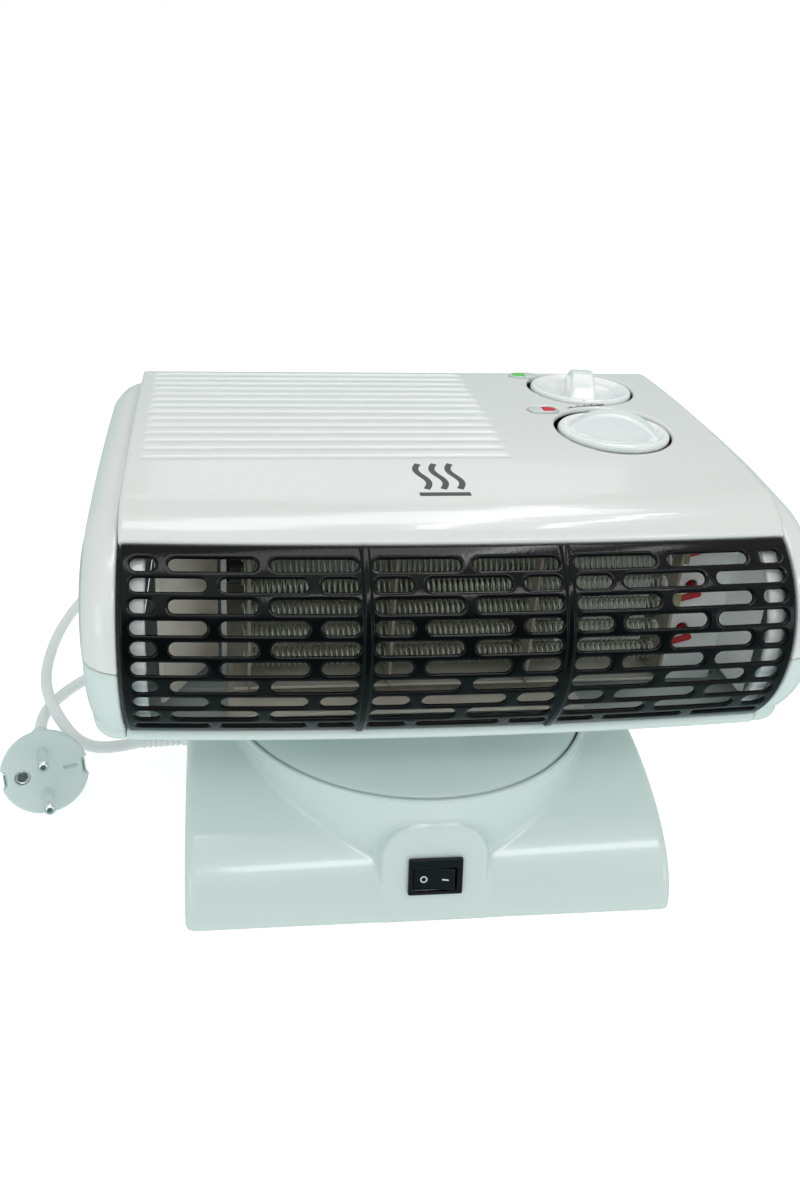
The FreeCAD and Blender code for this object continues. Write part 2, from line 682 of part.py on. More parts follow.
def base_plate():
    plate = box(-BASE_X + WALL + 0.4, BASE_X - WALL - 0.4, -BASE_Y + 4, BASE_Y - 4, BASE_Z0, BASE_Z0 + 2.2)
    cuts = [rod(V(x, y, 0), V(0, 0, 1), CLEAR_R, 20) for x, y in four(*BASE_POSTS)]
    for i in range(7):
        vent = stadium(40, 3, 10)
        vent.translate(V(0, -18 + 6 * i, 0))
        cuts.append(vent)
    cuts += [rod(V(x, y, 0), V(0, 0, 1), 3, 10) for x, y in four(*FEET)]
    return plate.cut(Part.makeCompound(cuts))


def rubber_feet():
    feet = []
    for x, y in four(*FEET):
        foot = Part.makeCone(6, 7, BASE_Z0, V(x, y, 0), V(0, 0, 1))
        feet.append(foot.fuse(rod(V(x, y, BASE_Z0), V(0, 0, 1), 2.9, 3.4)))
    return Part.makeCompound(feet)


def base_screws():
    """Four screws up through the base plate, and two that hang the swing motor under the deck."""
    screws = []
    for x, y in four(*BASE_POSTS):
        head = rod(V(x, y, 0.2), V(0, 0, 1), 3.2, BASE_Z0 - 0.2)
        screws.append(head.fuse(rod(V(x, y, BASE_Z0), V(0, 0, 1), 1.6, 14)))
    for x in (-MOTOR_EARS, MOTOR_EARS):
        shank = rod(V(x, CRANK_Y, MOTOR_TOP - 1.2), V(0, 0, 1), 1.6, 7)
        screws.append(shank.fuse(rod(V(x, CRANK_Y, MOTOR_TOP - 3), V(0, 0, 1), 3, 1.8)))
    return Part.makeCompound(screws)


def swivel_bush():
    flange = tube(V(0, 0, DECK_Z), V(0, 0, 1), HUB_R + 7, HUB_R + 0.06, 1.4)
    sleeve = tube(V(0, 0, DECK_Z - WALL - 1), V(0, 0, 1), HUB_R + 3, HUB_R + 0.06, WALL + 1)
    return flange.fuse(sleeve)


def swing_motor():
    can = rod(V(0, CRANK_Y, MOTOR_TOP - 21), V(0, 0, 1), 25, 21)
    ears = box(-34, 34, CRANK_Y - 5, CRANK_Y + 5, MOTOR_TOP - 1.2, MOTOR_TOP)
    holes = [rod(V(x, CRANK_Y, 20), V(0, 0, 1), CLEAR_R, 30) for x in (-MOTOR_EARS, MOTOR_EARS)]
    ears = ears.cut(Part.makeCompound(holes))
    shaft = rod(V(0, CRANK_Y, MOTOR_TOP), V(0, 0, 1), 3, CRANK_Z + 3 - MOTOR_TOP)
    return can.fuse([ears, shaft])


def swing_crank():
    z = CRANK_Z
    arm = rod(V(0, CRANK_Y, z), V(0, 0, 1), 7, 3)
    arm = arm.fuse(box(-4.5, 4.5, CRANK_Y, CRANK_Y + CRANK_R, z, z + 3))
    arm = arm.fuse(rod(V(0, CRANK_Y + CRANK_R, z), V(0, 0, 1), 4.5, 3))
    arm = arm.fuse(rod(V(0, CRANK_Y + CRANK_R, z + 2), V(0, 0, 1), PIN_R, 4.6))
    return arm.cut(rod(V(0, CRANK_Y, z - 1), V(0, 0, 1), 3.05, 6))


def turntable():
    """Crowned disc with a neck up to the head, a hub down through the base and a crank track."""
    def rz(r, z):
        return V(r, 0, z)
    edge = DISC_EDGE_R
    outline = [
        rz(HUB_BORE, 34), rz(HUB_R, 34), rz(HUB_R, 42.6), rz(HUB_R + 6, 42.6), rz(HUB_R + 6, DISC_UNDER),
        rz(edge - 2.6, DISC_UNDER), rz(edge - 2.6, DISC_RIM_Z), rz(edge, DISC_RIM_Z), rz(edge, 49.6),
        rz(edge - 2.2, 51.4),
        rz(66, 53.6), rz(NECK_R + 5, 55.2), rz(NECK_R + 1, 57), rz(NECK_R, 60), rz(NECK_R, FLOOR_Z),
        rz(NECK_R - WALL, FLOOR_Z), rz(NECK_R - WALL, 51.4), rz(HUB_BORE, 51.4),
    ]
    edges = [line(outline[i - 1], outline[i]) for i in range(len(outline))]
    body = Part.Face(Part.Wire(edges)).revolve(V(0, 0, 0), V(0, 0, 1), 360)
    half = PIN_R + SLOT_CLEARANCE
    track = []
    for side in (-1, 1):
        x0, x1 = sorted((side * half, side * (half + 2)))
        track.append(box(x0, x1, 38, 67, 45, DISC_UNDER + 0.5))
    bosses = []
    holes = []
    for x, y in four(HUB_SCREWS, HUB_SCREWS):
        bosses.append(rod(V(x, y, DISC_UNDER), V(0, 0, 1), 4.5, FLOOR_Z - DISC_UNDER))
        holes.append(rod(V(x, y, 40), V(0, 0, 1), CLEAR_R, 60))
    return body.fuse(track + bosses).cut(Part.makeCompound(holes))


def turntable_screws():
    screws = []
    for x, y in four(HUB_SCREWS, HUB_SCREWS):
        shank = rod(V(x, y, FLOOR_Z - 10), V(0, 0, 1), 1.6, 12.4)
        screws.append(shank.fuse(rod(V(x, y, FLOOR_Z - 12), V(0, 0, 1), 1.8, 2)))
    return Part.makeCompound(screws)


def hub_retainer():
    return tube(V(0, 0, DECK_Z - WALL - 2.6), V(0, 0, 1), HUB_R + 5, HUB_R, 1.4)


def switch_housing():
    bezel = box(-10.5, 10.5, -1.8, 0, -7.5, 7.5)
    bezel = bezel.makeFillet(0.7, [e for e in bezel.Edges if e.BoundBox.YLength > 1.7])
    body = box(-9.5, 9.5, 0, 12, -6.5, 6.5)
    body = bezel.fuse(body).cut(box(-8.6, 8.6, -3, 8, -5.2, 5.2))
    body = body.cut(rod(V(0, ROCKER_DEPTH, -ROCKER_HALF - 1), V(0, 0, 1), PIVOT_R + 0.05, 2 * ROCKER_HALF + 2))
    lugs = [box(x - 0.4, x + 0.4, 12, 19, -2.4, 2.4) for x in (-5, 5)]
    return on_switch(body.fuse(lugs))


def switch_rocker():
    """Rocker with its off side pressed in, turning on two short pivots about an axis up the face."""
    points = [V(-7.9, -2.6, 0), V(0, -1.7, 0), V(7.9, -2.6, 0), V(7, 4, 0), V(-7, 4, 0)]
    edges = [line(points[i - 1], points[i]) for i in range(len(points))]
    piece = Part.Face(Part.Wire(edges)).extrude(V(0, 0, 2 * ROCKER_HALF))
    piece.translate(V(0, 0, -ROCKER_HALF))
    reach = ROCKER_HALF + 0.9
    piece = piece.fuse(rod(V(0, ROCKER_DEPTH, -reach), V(0, 0, 1), PIVOT_R, 2 * reach))
    piece.rotate(V(0, ROCKER_DEPTH, 0), V(0, 0, 1), -ROCKER_SWING / 2)
    return on_switch(piece)


def swivel_leads():
    """Three leads that come up through the hub's bore, standing still while the head turns round them."""
    leads = [rod(V(x, 0, 20), V(0, 0, 1), 1.4, 68) for x in (-4, 0, 4)]
    return Part.makeCompound(leads)


# ---- cord and plug ----
ROUTE_A = [
    (-119.0, 21.4, 6.4), (-135.0, 20.0, 2.9), (-150.5, 27.0, 2.8), (-162.5, 43.0, 9.6), (-169.0, 61.0, 9.6),
    (-173.2, 80.0, 5.0), (-175.4, 101.0, 2.8), (-174.8, 126.0, 2.8), (-171.0, 151.0, 2.8), (-164.5, 176.0, 2.8),
    (-149.0, 199.0, 2.8), (-126.0, 207.5, 2.8), (-104.0, 201.5, 2.8), (-85.0, 190.5, 2.8), (-66.0, 186.2, 2.8),
]
ROUTE_B = [
    (-66.0, 109.8, 8.5), (-84.0, 110.4, 8.5), (-102.0, 107.6, 4.4), (-122.0, 102.5, 2.8), (-141.5, 93.0, 2.8),
    (-156.0, 79.0, 2.8), (-166.5, 62.0, 2.8), (-170.5, 46.0, 3.0), (-167.95, 30.8, 5.35),
]


def cord_path(points):
    """Straight runs joined by arcs as large as the runs allow; prints the arcs' radii."""
    corners = [V(*p) for p in points]
    edges = []
    radii = []
    start = corners[0]
    for before, corner, after in zip(corners, corners[1:], corners[2:]):
        a, b = before - corner, after - corner
        turn = math.pi - a.getAngle(b)
        reach = 0.45 * min(a.Length, b.Length)
        radius = reach / math.tan(turn / 2)
        radii.append(round(radius))
        a.normalize()
        b.normalize()
        inward = a + b
        inward.normalize()
        middle = corner + inward * (radius / math.cos(turn / 2) - radius)
        edges.append(line(start, corner + a * reach))
        edges.append(arc(corner + a * reach, middle, corner + b * reach))
        start = corner + b * reach
    edges.append(line(start, corners[-1]))
    print("cord radii", radii)
    return Part.Wire(edges)


def cord_tube(points):
    path = cord_path(points)
    direction = V(*points[1]) - V(*points[0])
    circle = Part.Wire([Part.Circle(V(*points[0]), direction, CORD_D / 2).toShape()])
    solid = path.makePipeShell([circle], True, True)
    expected = math.pi * (CORD_D / 2) ** 2 * path.Length
    print("cord run", round(path.Length), "mm, volume ratio", round(solid.Volume / expected, 3))
    return solid


def cord_coil():
    x, y = COIL_CENTRE
    outer = max(COIL_TURN_R) + CORD_D / 2
    inner = min(COIL_TURN_R) - CORD_D / 2
    ring = tube(V(x, y, 0), V(0, 0, 1), outer, inner, COIL_H)
    return ring.makeFillet(2.0, [e for e in ring.Edges if e.BoundBox.ZLength < 0.01])


def cord_tie():
    """Band across the coil's turns at one side, open underneath."""
    x, y = COIL_CENTRE
    inner = x + min(COIL_TURN_R) - CORD_D / 2
    outer = x + max(COIL_TURN_R) + CORD_D / 2
    band = box(inner - 1.2, outer + 1.2, y - 3.5, y + 3.5, 0, COIL_H + 1.2)
    return band.cut(box(inner, outer, y - 4, y + 4, -1, COIL_H))


def turned(outline, origin, axis):
    """Revolve a half outline, given as (distance along the axis, radius), about an axis in space."""
    points = [V(r, 0, s) for s, r in outline]
    edges = [line(points[i - 1], points[i]) for i in range(len(points))]
    body = Part.Face(Part.Wire(edges)).revolve(V(0, 0, 0), V(0, 0, 1), 360)
    body.Placement = FreeCAD.Placement(origin, FreeCAD.Rotation(V(0, 0, 1), axis))
    return body


def cord_gland():
    outline = [(-6, 0), (-6, 4), (0.7, 4), (0.7, 6.2), (2.9, 6.2), (3.3, 4.6), (24, 3.3), (24, 0)]
    axis = V(*ROUTE_A[0]) - CORD_EXIT
    axis.normalize()
    return turned(outline, V(*ROUTE_A[0]) - axis * 24, axis)


def plug_body():
    back = PLUG_AXIS * -1
    outline = [(0, 0), (0, 18.4), (1, 18.9), (6, 17.8), (12, 16.0), (18, 14.2), (25, 12.2), (35, 8.4), (45, 5.6),
               (50, 4.4), (50, 0)]
    return turned(outline, PLUG_FACE, back)


def plug_contacts():
    """Two round pins, and the two spring contacts in the plug's side notches."""
    pins = []
    for side in (-1, 1):
        pin = rod(V(0, side * 9.5, -4), V(0, 0, 1), 2.4, 21.6)
        pins.append(pin.fuse(Part.makeCone(2.4, 1.4, 1.4, V(0, side * 9.5, 17.6), V(0, 0, 1))))
        x0, x1 = sorted((side * 17.2, side * 15.6))
        pins.append(box(x0, x1, -3.5, 3.5, -14, -0.4))
    group = Part.makeCompound(pins)
    group.Placement = FreeCAD.Placement(PLUG_FACE, plug_turn())
    return group


def plug_turn():
    """Rotation that takes +Z to the plug's axis and +Y close to upright."""
    z = V(PLUG_AXIS)
    z.normalize()
    x = V(0, 0, 1).cross(z) * -1
    x.normalize()
    y = z.cross(x)
    lean = FreeCAD.Rotation(V(0, 0, 1), PLUG_LEAN)
    return FreeCAD.Rotation(x, y, z, "ZXY").multiply(lean)


def save_all():
    skin, inner = head_tube()
    save("top_shell", top_shell(skin, inner))
    save("bottom_shell", bottom_shell(skin))
    for name, side in (("left", -1), ("right", 1)):
        upper, lower = end_cap(side)
        save(name + "_cap_upper", upper)
        save(name + "_cap_lower", lower)
        save(name + "_side_insert", side_insert(side))
    save("front_grille", front_grille())
    save("shell_screws", shell_screws())
    save("left_partition", left_partition())
    save("right_partition", right_partition())
    save("shaft_bush", shaft_bush())
    save("scroll_plate", scroll_plate())
    save("duct_floor", duct_floor())
    save("tongue_plate", tongue_plate())
    save("left_cheek", left_cheek())
    save("right_cheek", right_cheek())
    save("impeller", impeller())
    save("impeller_shaft", rod(V(LEFT_WALL_X - 3, FAN_Y, FAN_Z), V(1, 0, 0), SHAFT_R, 168))
    save("fan_motor_stator", motor_stator())
    save("fan_motor_winding", motor_winding())
    save("fan_motor_rotor", motor_rotor())
    save("fan_motor_brackets", motor_brackets())
    save("heating_coils", heating_coils())
    save("mica_cards", mica_cards())
    save("heater_rails", heater_rails())
    save("heater_terminals", heater_terminals())
    save("thermal_cutout", thermal_cutout())
    save("thermostat_body", control_body(THERMOSTAT, 13, THERMOSTAT_TOP - DISC_H))
    save("thermostat_spindle", spindle(THERMOSTAT, THERMOSTAT_TOP - DISC_H))
    save("thermostat_knob", knob(THERMOSTAT, THERMOSTAT_TOP, THERMOSTAT_TURN))
    save("selector_body", selector_body(SELECTOR_TOP - DISC_H))
    save("selector_spindle", spindle(SELECTOR, SELECTOR_TOP - DISC_H))
    save("selector_knob", knob(SELECTOR, SELECTOR_TOP, SELECTOR_TURN))
    save("indicator_lenses", Part.makeCompound([lens(RED_LAMP), lens(GREEN_LAMP)]))
    save("power_lamp", lamp(RED_LAMP))
    save("heat_lamp", lamp(GREEN_LAMP))
    save("red_leads", red_leads())
    save("terminal_block", terminal_block())
    save("turntable", turntable())
    save("turntable_screws", turntable_screws())
    save("hub_retainer", hub_retainer())
    save("base_housing", base_housing())
    save("base_plate", base_plate())
    save("rubber_feet", rubber_feet())
    save("base_screws", base_screws())
    save("swivel_bush", swivel_bush())
    save("swing_motor", swing_motor())
    save("swing_crank", swing_crank())
    save("switch_housing", switch_housing())
    save("switch_rocker", switch_rocker())
    save("swivel_leads", swivel_leads())
    save("cord_gland", cord_gland())
    save("supply_cord_a", cord_tube(ROUTE_A))
    save("supply_cord_b", cord_tube(ROUTE_B))
    save("cord_coil", cord_coil())
    save("cord_tie", cord_tie())
    save("plug_body", plug_body())
    save("plug_contacts", plug_contacts())


save_all()
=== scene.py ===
import math

import bpy
import numpy as np
from mathutils import Matrix, Vector


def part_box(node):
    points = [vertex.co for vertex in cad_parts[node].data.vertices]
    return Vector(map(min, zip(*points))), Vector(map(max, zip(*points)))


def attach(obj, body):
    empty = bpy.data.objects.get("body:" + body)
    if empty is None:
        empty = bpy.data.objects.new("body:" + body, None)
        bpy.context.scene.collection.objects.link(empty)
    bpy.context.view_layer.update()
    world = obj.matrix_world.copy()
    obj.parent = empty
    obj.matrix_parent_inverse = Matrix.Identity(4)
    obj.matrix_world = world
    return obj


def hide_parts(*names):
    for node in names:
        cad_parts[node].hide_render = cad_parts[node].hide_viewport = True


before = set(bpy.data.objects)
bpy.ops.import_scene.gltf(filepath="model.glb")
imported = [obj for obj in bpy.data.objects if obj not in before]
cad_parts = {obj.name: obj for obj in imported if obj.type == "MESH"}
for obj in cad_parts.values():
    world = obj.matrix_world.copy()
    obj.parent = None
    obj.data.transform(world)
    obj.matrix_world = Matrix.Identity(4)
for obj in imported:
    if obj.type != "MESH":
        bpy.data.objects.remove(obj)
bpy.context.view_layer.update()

# A fan convector heater on a swinging base. Shapes are worked out in millimetres about the swivel axis,
# x to the user's right, y to the back and z up, and moved to the frame in metres by ORIGIN and MM.
MM = 0.001
TURN_LOW, TURN_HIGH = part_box("turntable")
ORIGIN = Vector((0, (TURN_LOW.y + TURN_HIGH.y) / 2, 0))


def reach(node, axis, high=True):
    """A CAD node's extreme along an axis, in millimetres about the swivel axis."""
    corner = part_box(node)[1 if high else 0]
    return (corner - ORIGIN)[axis] / MM


# ---- sizes taken from the frame ----
SHELL_X = reach("top_shell", 0)
CAP_X = reach("right_cap_upper", 0)
GRILLE_X = reach("front_grille", 0)
REAR_Y = reach("bottom_shell", 1)
FLOOR_Z = reach("bottom_shell", 2, False)
SPLIT_Z = reach("top_shell", 2, False)
BASE_X = reach("base_housing", 0)
BASE_Y = reach("base_housing", 1)
BASE_Z0 = reach("base_housing", 2, False)
TOWER_Z = reach("base_housing", 2)

# ---- sizes shared with the design ----
WALL = 2.4
FACE_R = 42.4
RIB_PROUD = 0.8
FACE_Y = reach("front_grille", 1, False) + FACE_R + RIB_PROUD
FACE_Z = 118.5
FACE_TOP, FACE_END = 119.5, 224.0
REAR_R = 15.5
CAP_DROP = 5.0
CAP_ROUND = 9.0
BOW = 3.2                # how far the front falls back at the ends
THERMOSTAT = (73.4, -9.3, 172.8)
SELECTOR = (76.0, 38.2, 175.8)
RED_LAMP, GREEN_LAMP = (51.2, 10.8), (55.8, 56.0)
LENS_L, LENS_W = 12.5, 8.0
DIAL_R, DIAL_GRIP_H, DIAL_WELL_R = 21.2, 6.4, 22.5
THERMOSTAT_TURN, SELECTOR_TURN = -23, 75
CORD_D = 5.6


# ---- placing ----
def to_frame(points):
    """Millimetres about the swivel axis to metres in the frame."""
    return np.asarray(points, float) * MM + np.array(ORIGIN)


def place(x, y, z):
    """One such point as a vector."""
    return Vector((x, y, z)) * MM + ORIGIN


def in_scene(name, data):
    """A new object in the scene."""
    made = bpy.data.objects.new(name, data)
    bpy.context.scene.collection.objects.link(made)
    return made


def piece(name, verts, faces, body, material, replaces=(), smooth=True):
    """A mesh piece from points in millimetres, riding on a body and standing for CAD nodes."""
    mesh = bpy.data.meshes.new(name)
    mesh.from_pydata([tuple(v) for v in to_frame(verts)], [], [tuple(int(i) for i in f) for f in faces])
    mesh.polygons.foreach_set("use_smooth", [smooth] * len(mesh.polygons))
    mesh.validate()
    mesh.update()
    return dress(in_scene(name, mesh), body, material, replaces)


def dress(made, body, material, replaces=()):
    """Give a piece its material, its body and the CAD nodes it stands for."""
    made.data.materials.append(material)
    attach(made, body)
    if replaces:
        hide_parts(*replaces)
    return made


def tube(first, rings, around):
    """Faces of a closed tube whose rings of points start at point number first."""
    faces = []
    for ring in range(rings - 1):
        a = first + ring * around
        for j in range(around):
            k = (j + 1) % around
            faces.append((a + j, a + k, a + around + k, a + around + j))
    last = first + (rings - 1) * around
    faces.append(tuple(reversed(range(first, first + around))))
    faces.append(tuple(range(last, last + around)))
    return faces


# ---- solid fields: negative inside, in millimetres ----
def smooth_max(a, b, k):
    """Intersection of two fields, its edge rounded by about k."""
    h = np.clip(0.5 + 0.5 * (a - b) / k, 0, 1)
    return b + (a - b) * h + k * h * (1 - h)


def smooth_min(a, b, k):
    """Union of two fields, with a fillet of about k."""
    return -smooth_max(-a, -b, k)


def cut(a, b, k):
    """One field less another, the edge between them rounded by about k."""
    return smooth_max(a, -b, k)


def block(x, y, z, centre, half, r):
    """A box with edges rounded by r."""
    q = [np.abs(p - c) - h + r for p, c, h in zip((x, y, z), centre, half)]
    outside = np.sqrt(sum(np.maximum(a, 0) ** 2 for a in q))
    return outside + np.minimum(np.maximum(np.maximum(q[0], q[1]), q[2]), 0) - r


def stadium(x, y, half_length, r):
    """A round-ended slot's outline."""
    return np.hypot(np.maximum(np.abs(x) - half_length + r, 0), y) - r


def rounded(a, b, r):
    """Where two fields meet at an edge, round it with radius r."""
    qa, qb = a + r, b + r
    return np.minimum(np.maximum(qa, qb), 0) + np.hypot(np.maximum(qa, 0), np.maximum(qb, 0)) - r


CORNERS = [(i, j, k) for i in (0, 1) for j in (0, 1) for k in (0, 1)]
EDGES = [(a, b) for a in range(8) for b in range(a + 1, 8)
         if sum(p != q for p, q in zip(CORNERS[a], CORNERS[b])) == 1]


def slope(field, p, step=0.05):
    """Value and gradient of a field at the points p."""
    grad = np.empty_like(p)
    for k in range(3):
        ahead, behind = p.copy(), p.copy()
        ahead[:, k] += step
        behind[:, k] -= step
        grad[:, k] = (field(*ahead.T) - field(*behind.T)) / (2 * step)
    return field(*p.T), grad


def skin(field, low, high, step, passes=3):
    """Points and quads of the surface where a field is zero, one point to each grid cell that it crosses."""
    axes = [np.arange(a - step, b + 2 * step, step) for a, b in zip(low, high)]
    grid = np.meshgrid(*axes, indexing="ij", sparse=True)
    shape = tuple(len(a) for a in axes)
    d = np.array(np.broadcast_to(field(*grid), shape), np.float32)
    inside = d < 0
    count = sum(inside[i:shape[0] - 1 + i, j:shape[1] - 1 + j, k:shape[2] - 1 + k].astype(np.int8)
                for i, j, k in CORNERS)
    cells = np.argwhere((count > 0) & (count < 8))
    value = np.stack([d[tuple((cells + c).T)] for c in CORNERS], 1)
    total, hits = np.zeros((len(cells), 3)), np.zeros(len(cells))
    for a, b in EDGES:
        crossed = (value[:, a] < 0) != (value[:, b] < 0)
        share = value[:, a] / np.where(crossed, value[:, a] - value[:, b], 1)
        point = np.array(CORNERS[a]) + share[:, None] * (np.array(CORNERS[b]) - np.array(CORNERS[a]))
        total += point * crossed[:, None]
        hits += crossed
    points = (cells + total / hits[:, None]) * step + np.array([a[0] for a in axes])
    for _ in range(passes):
        d0, grad = slope(field, points)
        move = grad * (d0 / np.maximum((grad ** 2).sum(1), 0.05))[:, None]
        points -= np.clip(move, -0.5 * step, 0.5 * step)
    index = -np.ones(shape, np.int32)
    index[tuple(cells.T)] = np.arange(len(cells))
    quads = []
    for k in range(3):
        ahead = np.roll(inside, -1, k)
        edge = np.argwhere(inside != ahead)
        edge = edge[(edge.min(1) > 0) & (edge[:, k] < shape[k] - 1)]
        u, v = np.eye(3, dtype=int)[(k + 1) % 3], np.eye(3, dtype=int)[(k + 2) % 3]
        quad = np.stack([index[tuple((edge - o).T)] for o in (0 * u, u, u + v, v)], 1)
        flip = inside[tuple(edge.T)]
        quad[flip] = quad[flip][:, ::-1]
        quads.append(quad[quad.min(1) >= 0])
    faces = np.concatenate(quads)[:, ::-1]
    return points, faces


def moulded(name, field, low, high, step, body, material, replaces=(), warp=None):
    """A piece whose surface is where a field is zero; warp moves its points afterwards."""
    points, faces = skin(field, low, high, step)
    if warp:
        points = warp(points)
    return piece(name, points, faces, body, material, replaces)


# ---- outlines ----
def through(a, b, c, count):
    """Points along the arc from a to c by way of b."""
    ax, ay, bx, by, cx, cy = *a, *b, *c
    d = 2 * (ax * (by - cy) + bx * (cy - ay) + cx * (ay - by))
    ux = ((ax**2 + ay**2) * (by - cy) + (bx**2 + by**2) * (cy - ay) + (cx**2 + cy**2) * (ay - by)) / d
    uy = ((ax**2 + ay**2) * (cx - bx) + (bx**2 + by**2) * (ax - cx) + (cx**2 + cy**2) * (bx - ax)) / d
    r = math.hypot(ax - ux, ay - uy)
    start, mid, end = (math.atan2(p[1] - uy, p[0] - ux) for p in (a, b, c))
    turn = 2 * math.pi
    sweep = (end - start) % turn
    if (mid - start) % turn > sweep:
        sweep -= turn
    return [(ux + r * math.cos(start + sweep * i / count), uy + r * math.sin(start + sweep * i / count))
            for i in range(count)]


def crown(y):
    """Height of the head's top."""
    return 175.5 + 0.0459 * (y - 57) - 0.000556 * (y - 57) * (y + 4)


def on_face(r, degrees):
    """The point of the outlet's round face at an angle, as (y, z)."""
    angle = math.radians(degrees)
    return FACE_Y + r * math.cos(angle), FACE_Z + r * math.sin(angle)


def head_loop(drop, face):
    """The head's side outline in the yz plane, with a lower top and a smaller face for the end caps."""
    r = FACE_R - face
    bend = REAR_R * math.sqrt(0.5)
    high = crown(REAR_Y - REAR_R) - drop
    edge, lip = on_face(r, FACE_TOP), on_face(r, FACE_END)
    front = (-62 + 0.5 * face, crown(-62) - drop)
    shoulder = (-71.3 + 0.6 * face, 161.9 - 0.7 * drop)
    rear, inner = REAR_Y, REAR_Y - REAR_R
    loop = through((inner, high), (-4, crown(-4) - drop), front, 24)
    loop += through(front, shoulder, edge, 8)
    loop += through(edge, (FACE_Y - r, FACE_Z), lip, 40)
    loop += through(lip, (lip[0] + 0.4, FLOOR_Z + 1.6), (lip[0] + 3, FLOOR_Z), 4)
    loop += [(lip[0] + 3, FLOOR_Z)]
    loop += through((inner, FLOOR_Z), (inner + bend, FLOOR_Z + REAR_R - bend), (rear, FLOOR_Z + REAR_R), 12)
    loop += through((rear, high - REAR_R), (inner + bend, high - REAR_R + bend), (inner, high), 12)
    return np.array(loop)


class Outline:
    """Signed distance to a closed outline in the yz plane, read from a fine table made from it."""

    def __init__(self, loop, margin=14.0, step=0.4):
        self.low, self.step = loop.min(0) - margin, step
        count = ((loop.max(0) + margin - self.low) / step).astype(int) + 2
        y, z = np.meshgrid(*(self.low[k] + step * np.arange(count[k]) for k in (0, 1)), indexing="ij")
        best, odd = np.full(y.shape, 1e9), np.zeros(y.shape, bool)
        for (y0, z0), (y1, z1) in zip(loop, np.roll(loop, -1, 0)):
            dy, dz = y1 - y0, z1 - z0
            t = np.clip(((y - y0) * dy + (z - z0) * dz) / max(dy * dy + dz * dz, 1e-9), 0, 1)
            best = np.minimum(best, (y - y0 - t * dy) ** 2 + (z - z0 - t * dz) ** 2)
            if z0 != z1:
                odd ^= ((z0 > z) != (z1 > z)) & (y < (z - z0) * dy / dz + y0)
        self.table = np.where(odd, -1, 1) * np.sqrt(best)

    def __call__(self, y, z):
        fy = np.clip((y - self.low[0]) / self.step, 0, self.table.shape[0] - 1.001)
        fz = np.clip((z - self.low[1]) / self.step, 0, self.table.shape[1] - 1.001)
        i, j = np.broadcast_arrays(fy.astype(int), fz.astype(int))
        u, v = fy - i, fz - j
        t = self.table
        return ((t[i, j] * (1 - u) + t[i + 1, j] * u) * (1 - v)
                + (t[i, j + 1] * (1 - u) + t[i + 1, j + 1] * u) * v)


HEAD = Outline(head_loop(0, 0))
CAP = Outline(head_loop(CAP_DROP, 1.0))


def bowed(points):
    """The front falls back a little towards both ends."""
    out = points.copy()
    ahead = np.clip((-20 - points[:, 1]) / 40, 0, 1)
    out[:, 1] += BOW * (points[:, 0] / 105) ** 2 * ahead * ahead * (3 - 2 * ahead)
    return out


def past_ray(y, z, degrees):
    """Distance past a ray from the face's centre, towards larger angles."""
    angle = math.radians(degrees)
    return -(y - FACE_Y) * math.sin(angle) + (z - FACE_Z) * math.cos(angle)


# ---- materials ----
def shade(name, base, roughness, broad=14, spread=0.03, bump=0.05, sockets=()):
    """A procedural material: broad and fine variation of colour, roughness and surface over a base colour."""
    made = bpy.data.materials.new(name)
    made.use_nodes = True
    tree = made.node_tree
    link = tree.links.new
    bsdf = tree.nodes["Principled BSDF"]
    where = tree.nodes.new("ShaderNodeTexCoord")
    patches = noise(tree, where, broad, 3)
    grain = noise(tree, where, 900, 2)
    ramp = tree.nodes.new("ShaderNodeValToRGB")
    for stop, at, factor in zip(ramp.color_ramp.elements, (0.3, 0.7), (1 - spread, 1 + spread)):
        stop.position = at
        stop.color = (*[min(c * factor, 1) for c in base], 1)
    link(patches.outputs["Fac"], ramp.inputs["Fac"])
    link(ramp.outputs["Color"], bsdf.inputs["Base Color"])
    rough = tree.nodes.new("ShaderNodeMapRange")
    rough.inputs["To Min"].default_value = roughness * 0.85
    rough.inputs["To Max"].default_value = roughness * 1.2
    link(patches.outputs["Fac"], rough.inputs["Value"])
    link(rough.outputs["Result"], bsdf.inputs["Roughness"])
    relief = tree.nodes.new("ShaderNodeBump")
    relief.inputs["Strength"].default_value = bump
    relief.inputs["Distance"].default_value = 0.0004
    link(grain.outputs["Fac"], relief.inputs["Height"])
    link(relief.outputs["Normal"], bsdf.inputs["Normal"])
    for socket, value in dict(sockets).items():
        bsdf.inputs[socket].default_value = value
    return made


def noise(tree, where, scale, detail):
    made = tree.nodes.new("ShaderNodeTexNoise")
    made.inputs["Scale"].default_value = scale
    made.inputs["Detail"].default_value = detail
    tree.links.new(where.outputs["Object"], made.inputs["Vector"])
    return made


METAL = {"Metallic": 1.0}
GLAZE = {"Coat Weight": 0.4, "Coat Roughness": 0.05}
WHITE = shade("white_plastic", (0.73, 0.73, 0.72), 0.20, broad=9, spread=0.012, bump=0.03,
              sockets=GLAZE)
# The top's white plastic painted darker and cyan for the lower cover, cap bottoms, turntable and base:
# painted shade and painted cool light.
WHITE_PAINTED_SHADE = shade("white_plastic_painted_shade", (0.625, 0.705, 0.685), 0.20, broad=9, spread=0.014, bump=0.03,
                  sockets=GLAZE)
# Inner white plastic painted paler than the outer shell's: painted light for the dim inside of the head.
WHITE_INNER_PAINTED_LIGHT = shade("white_inner_plastic_painted_light", (0.90, 0.92, 0.91), 0.42, spread=0.03, bump=0.08)
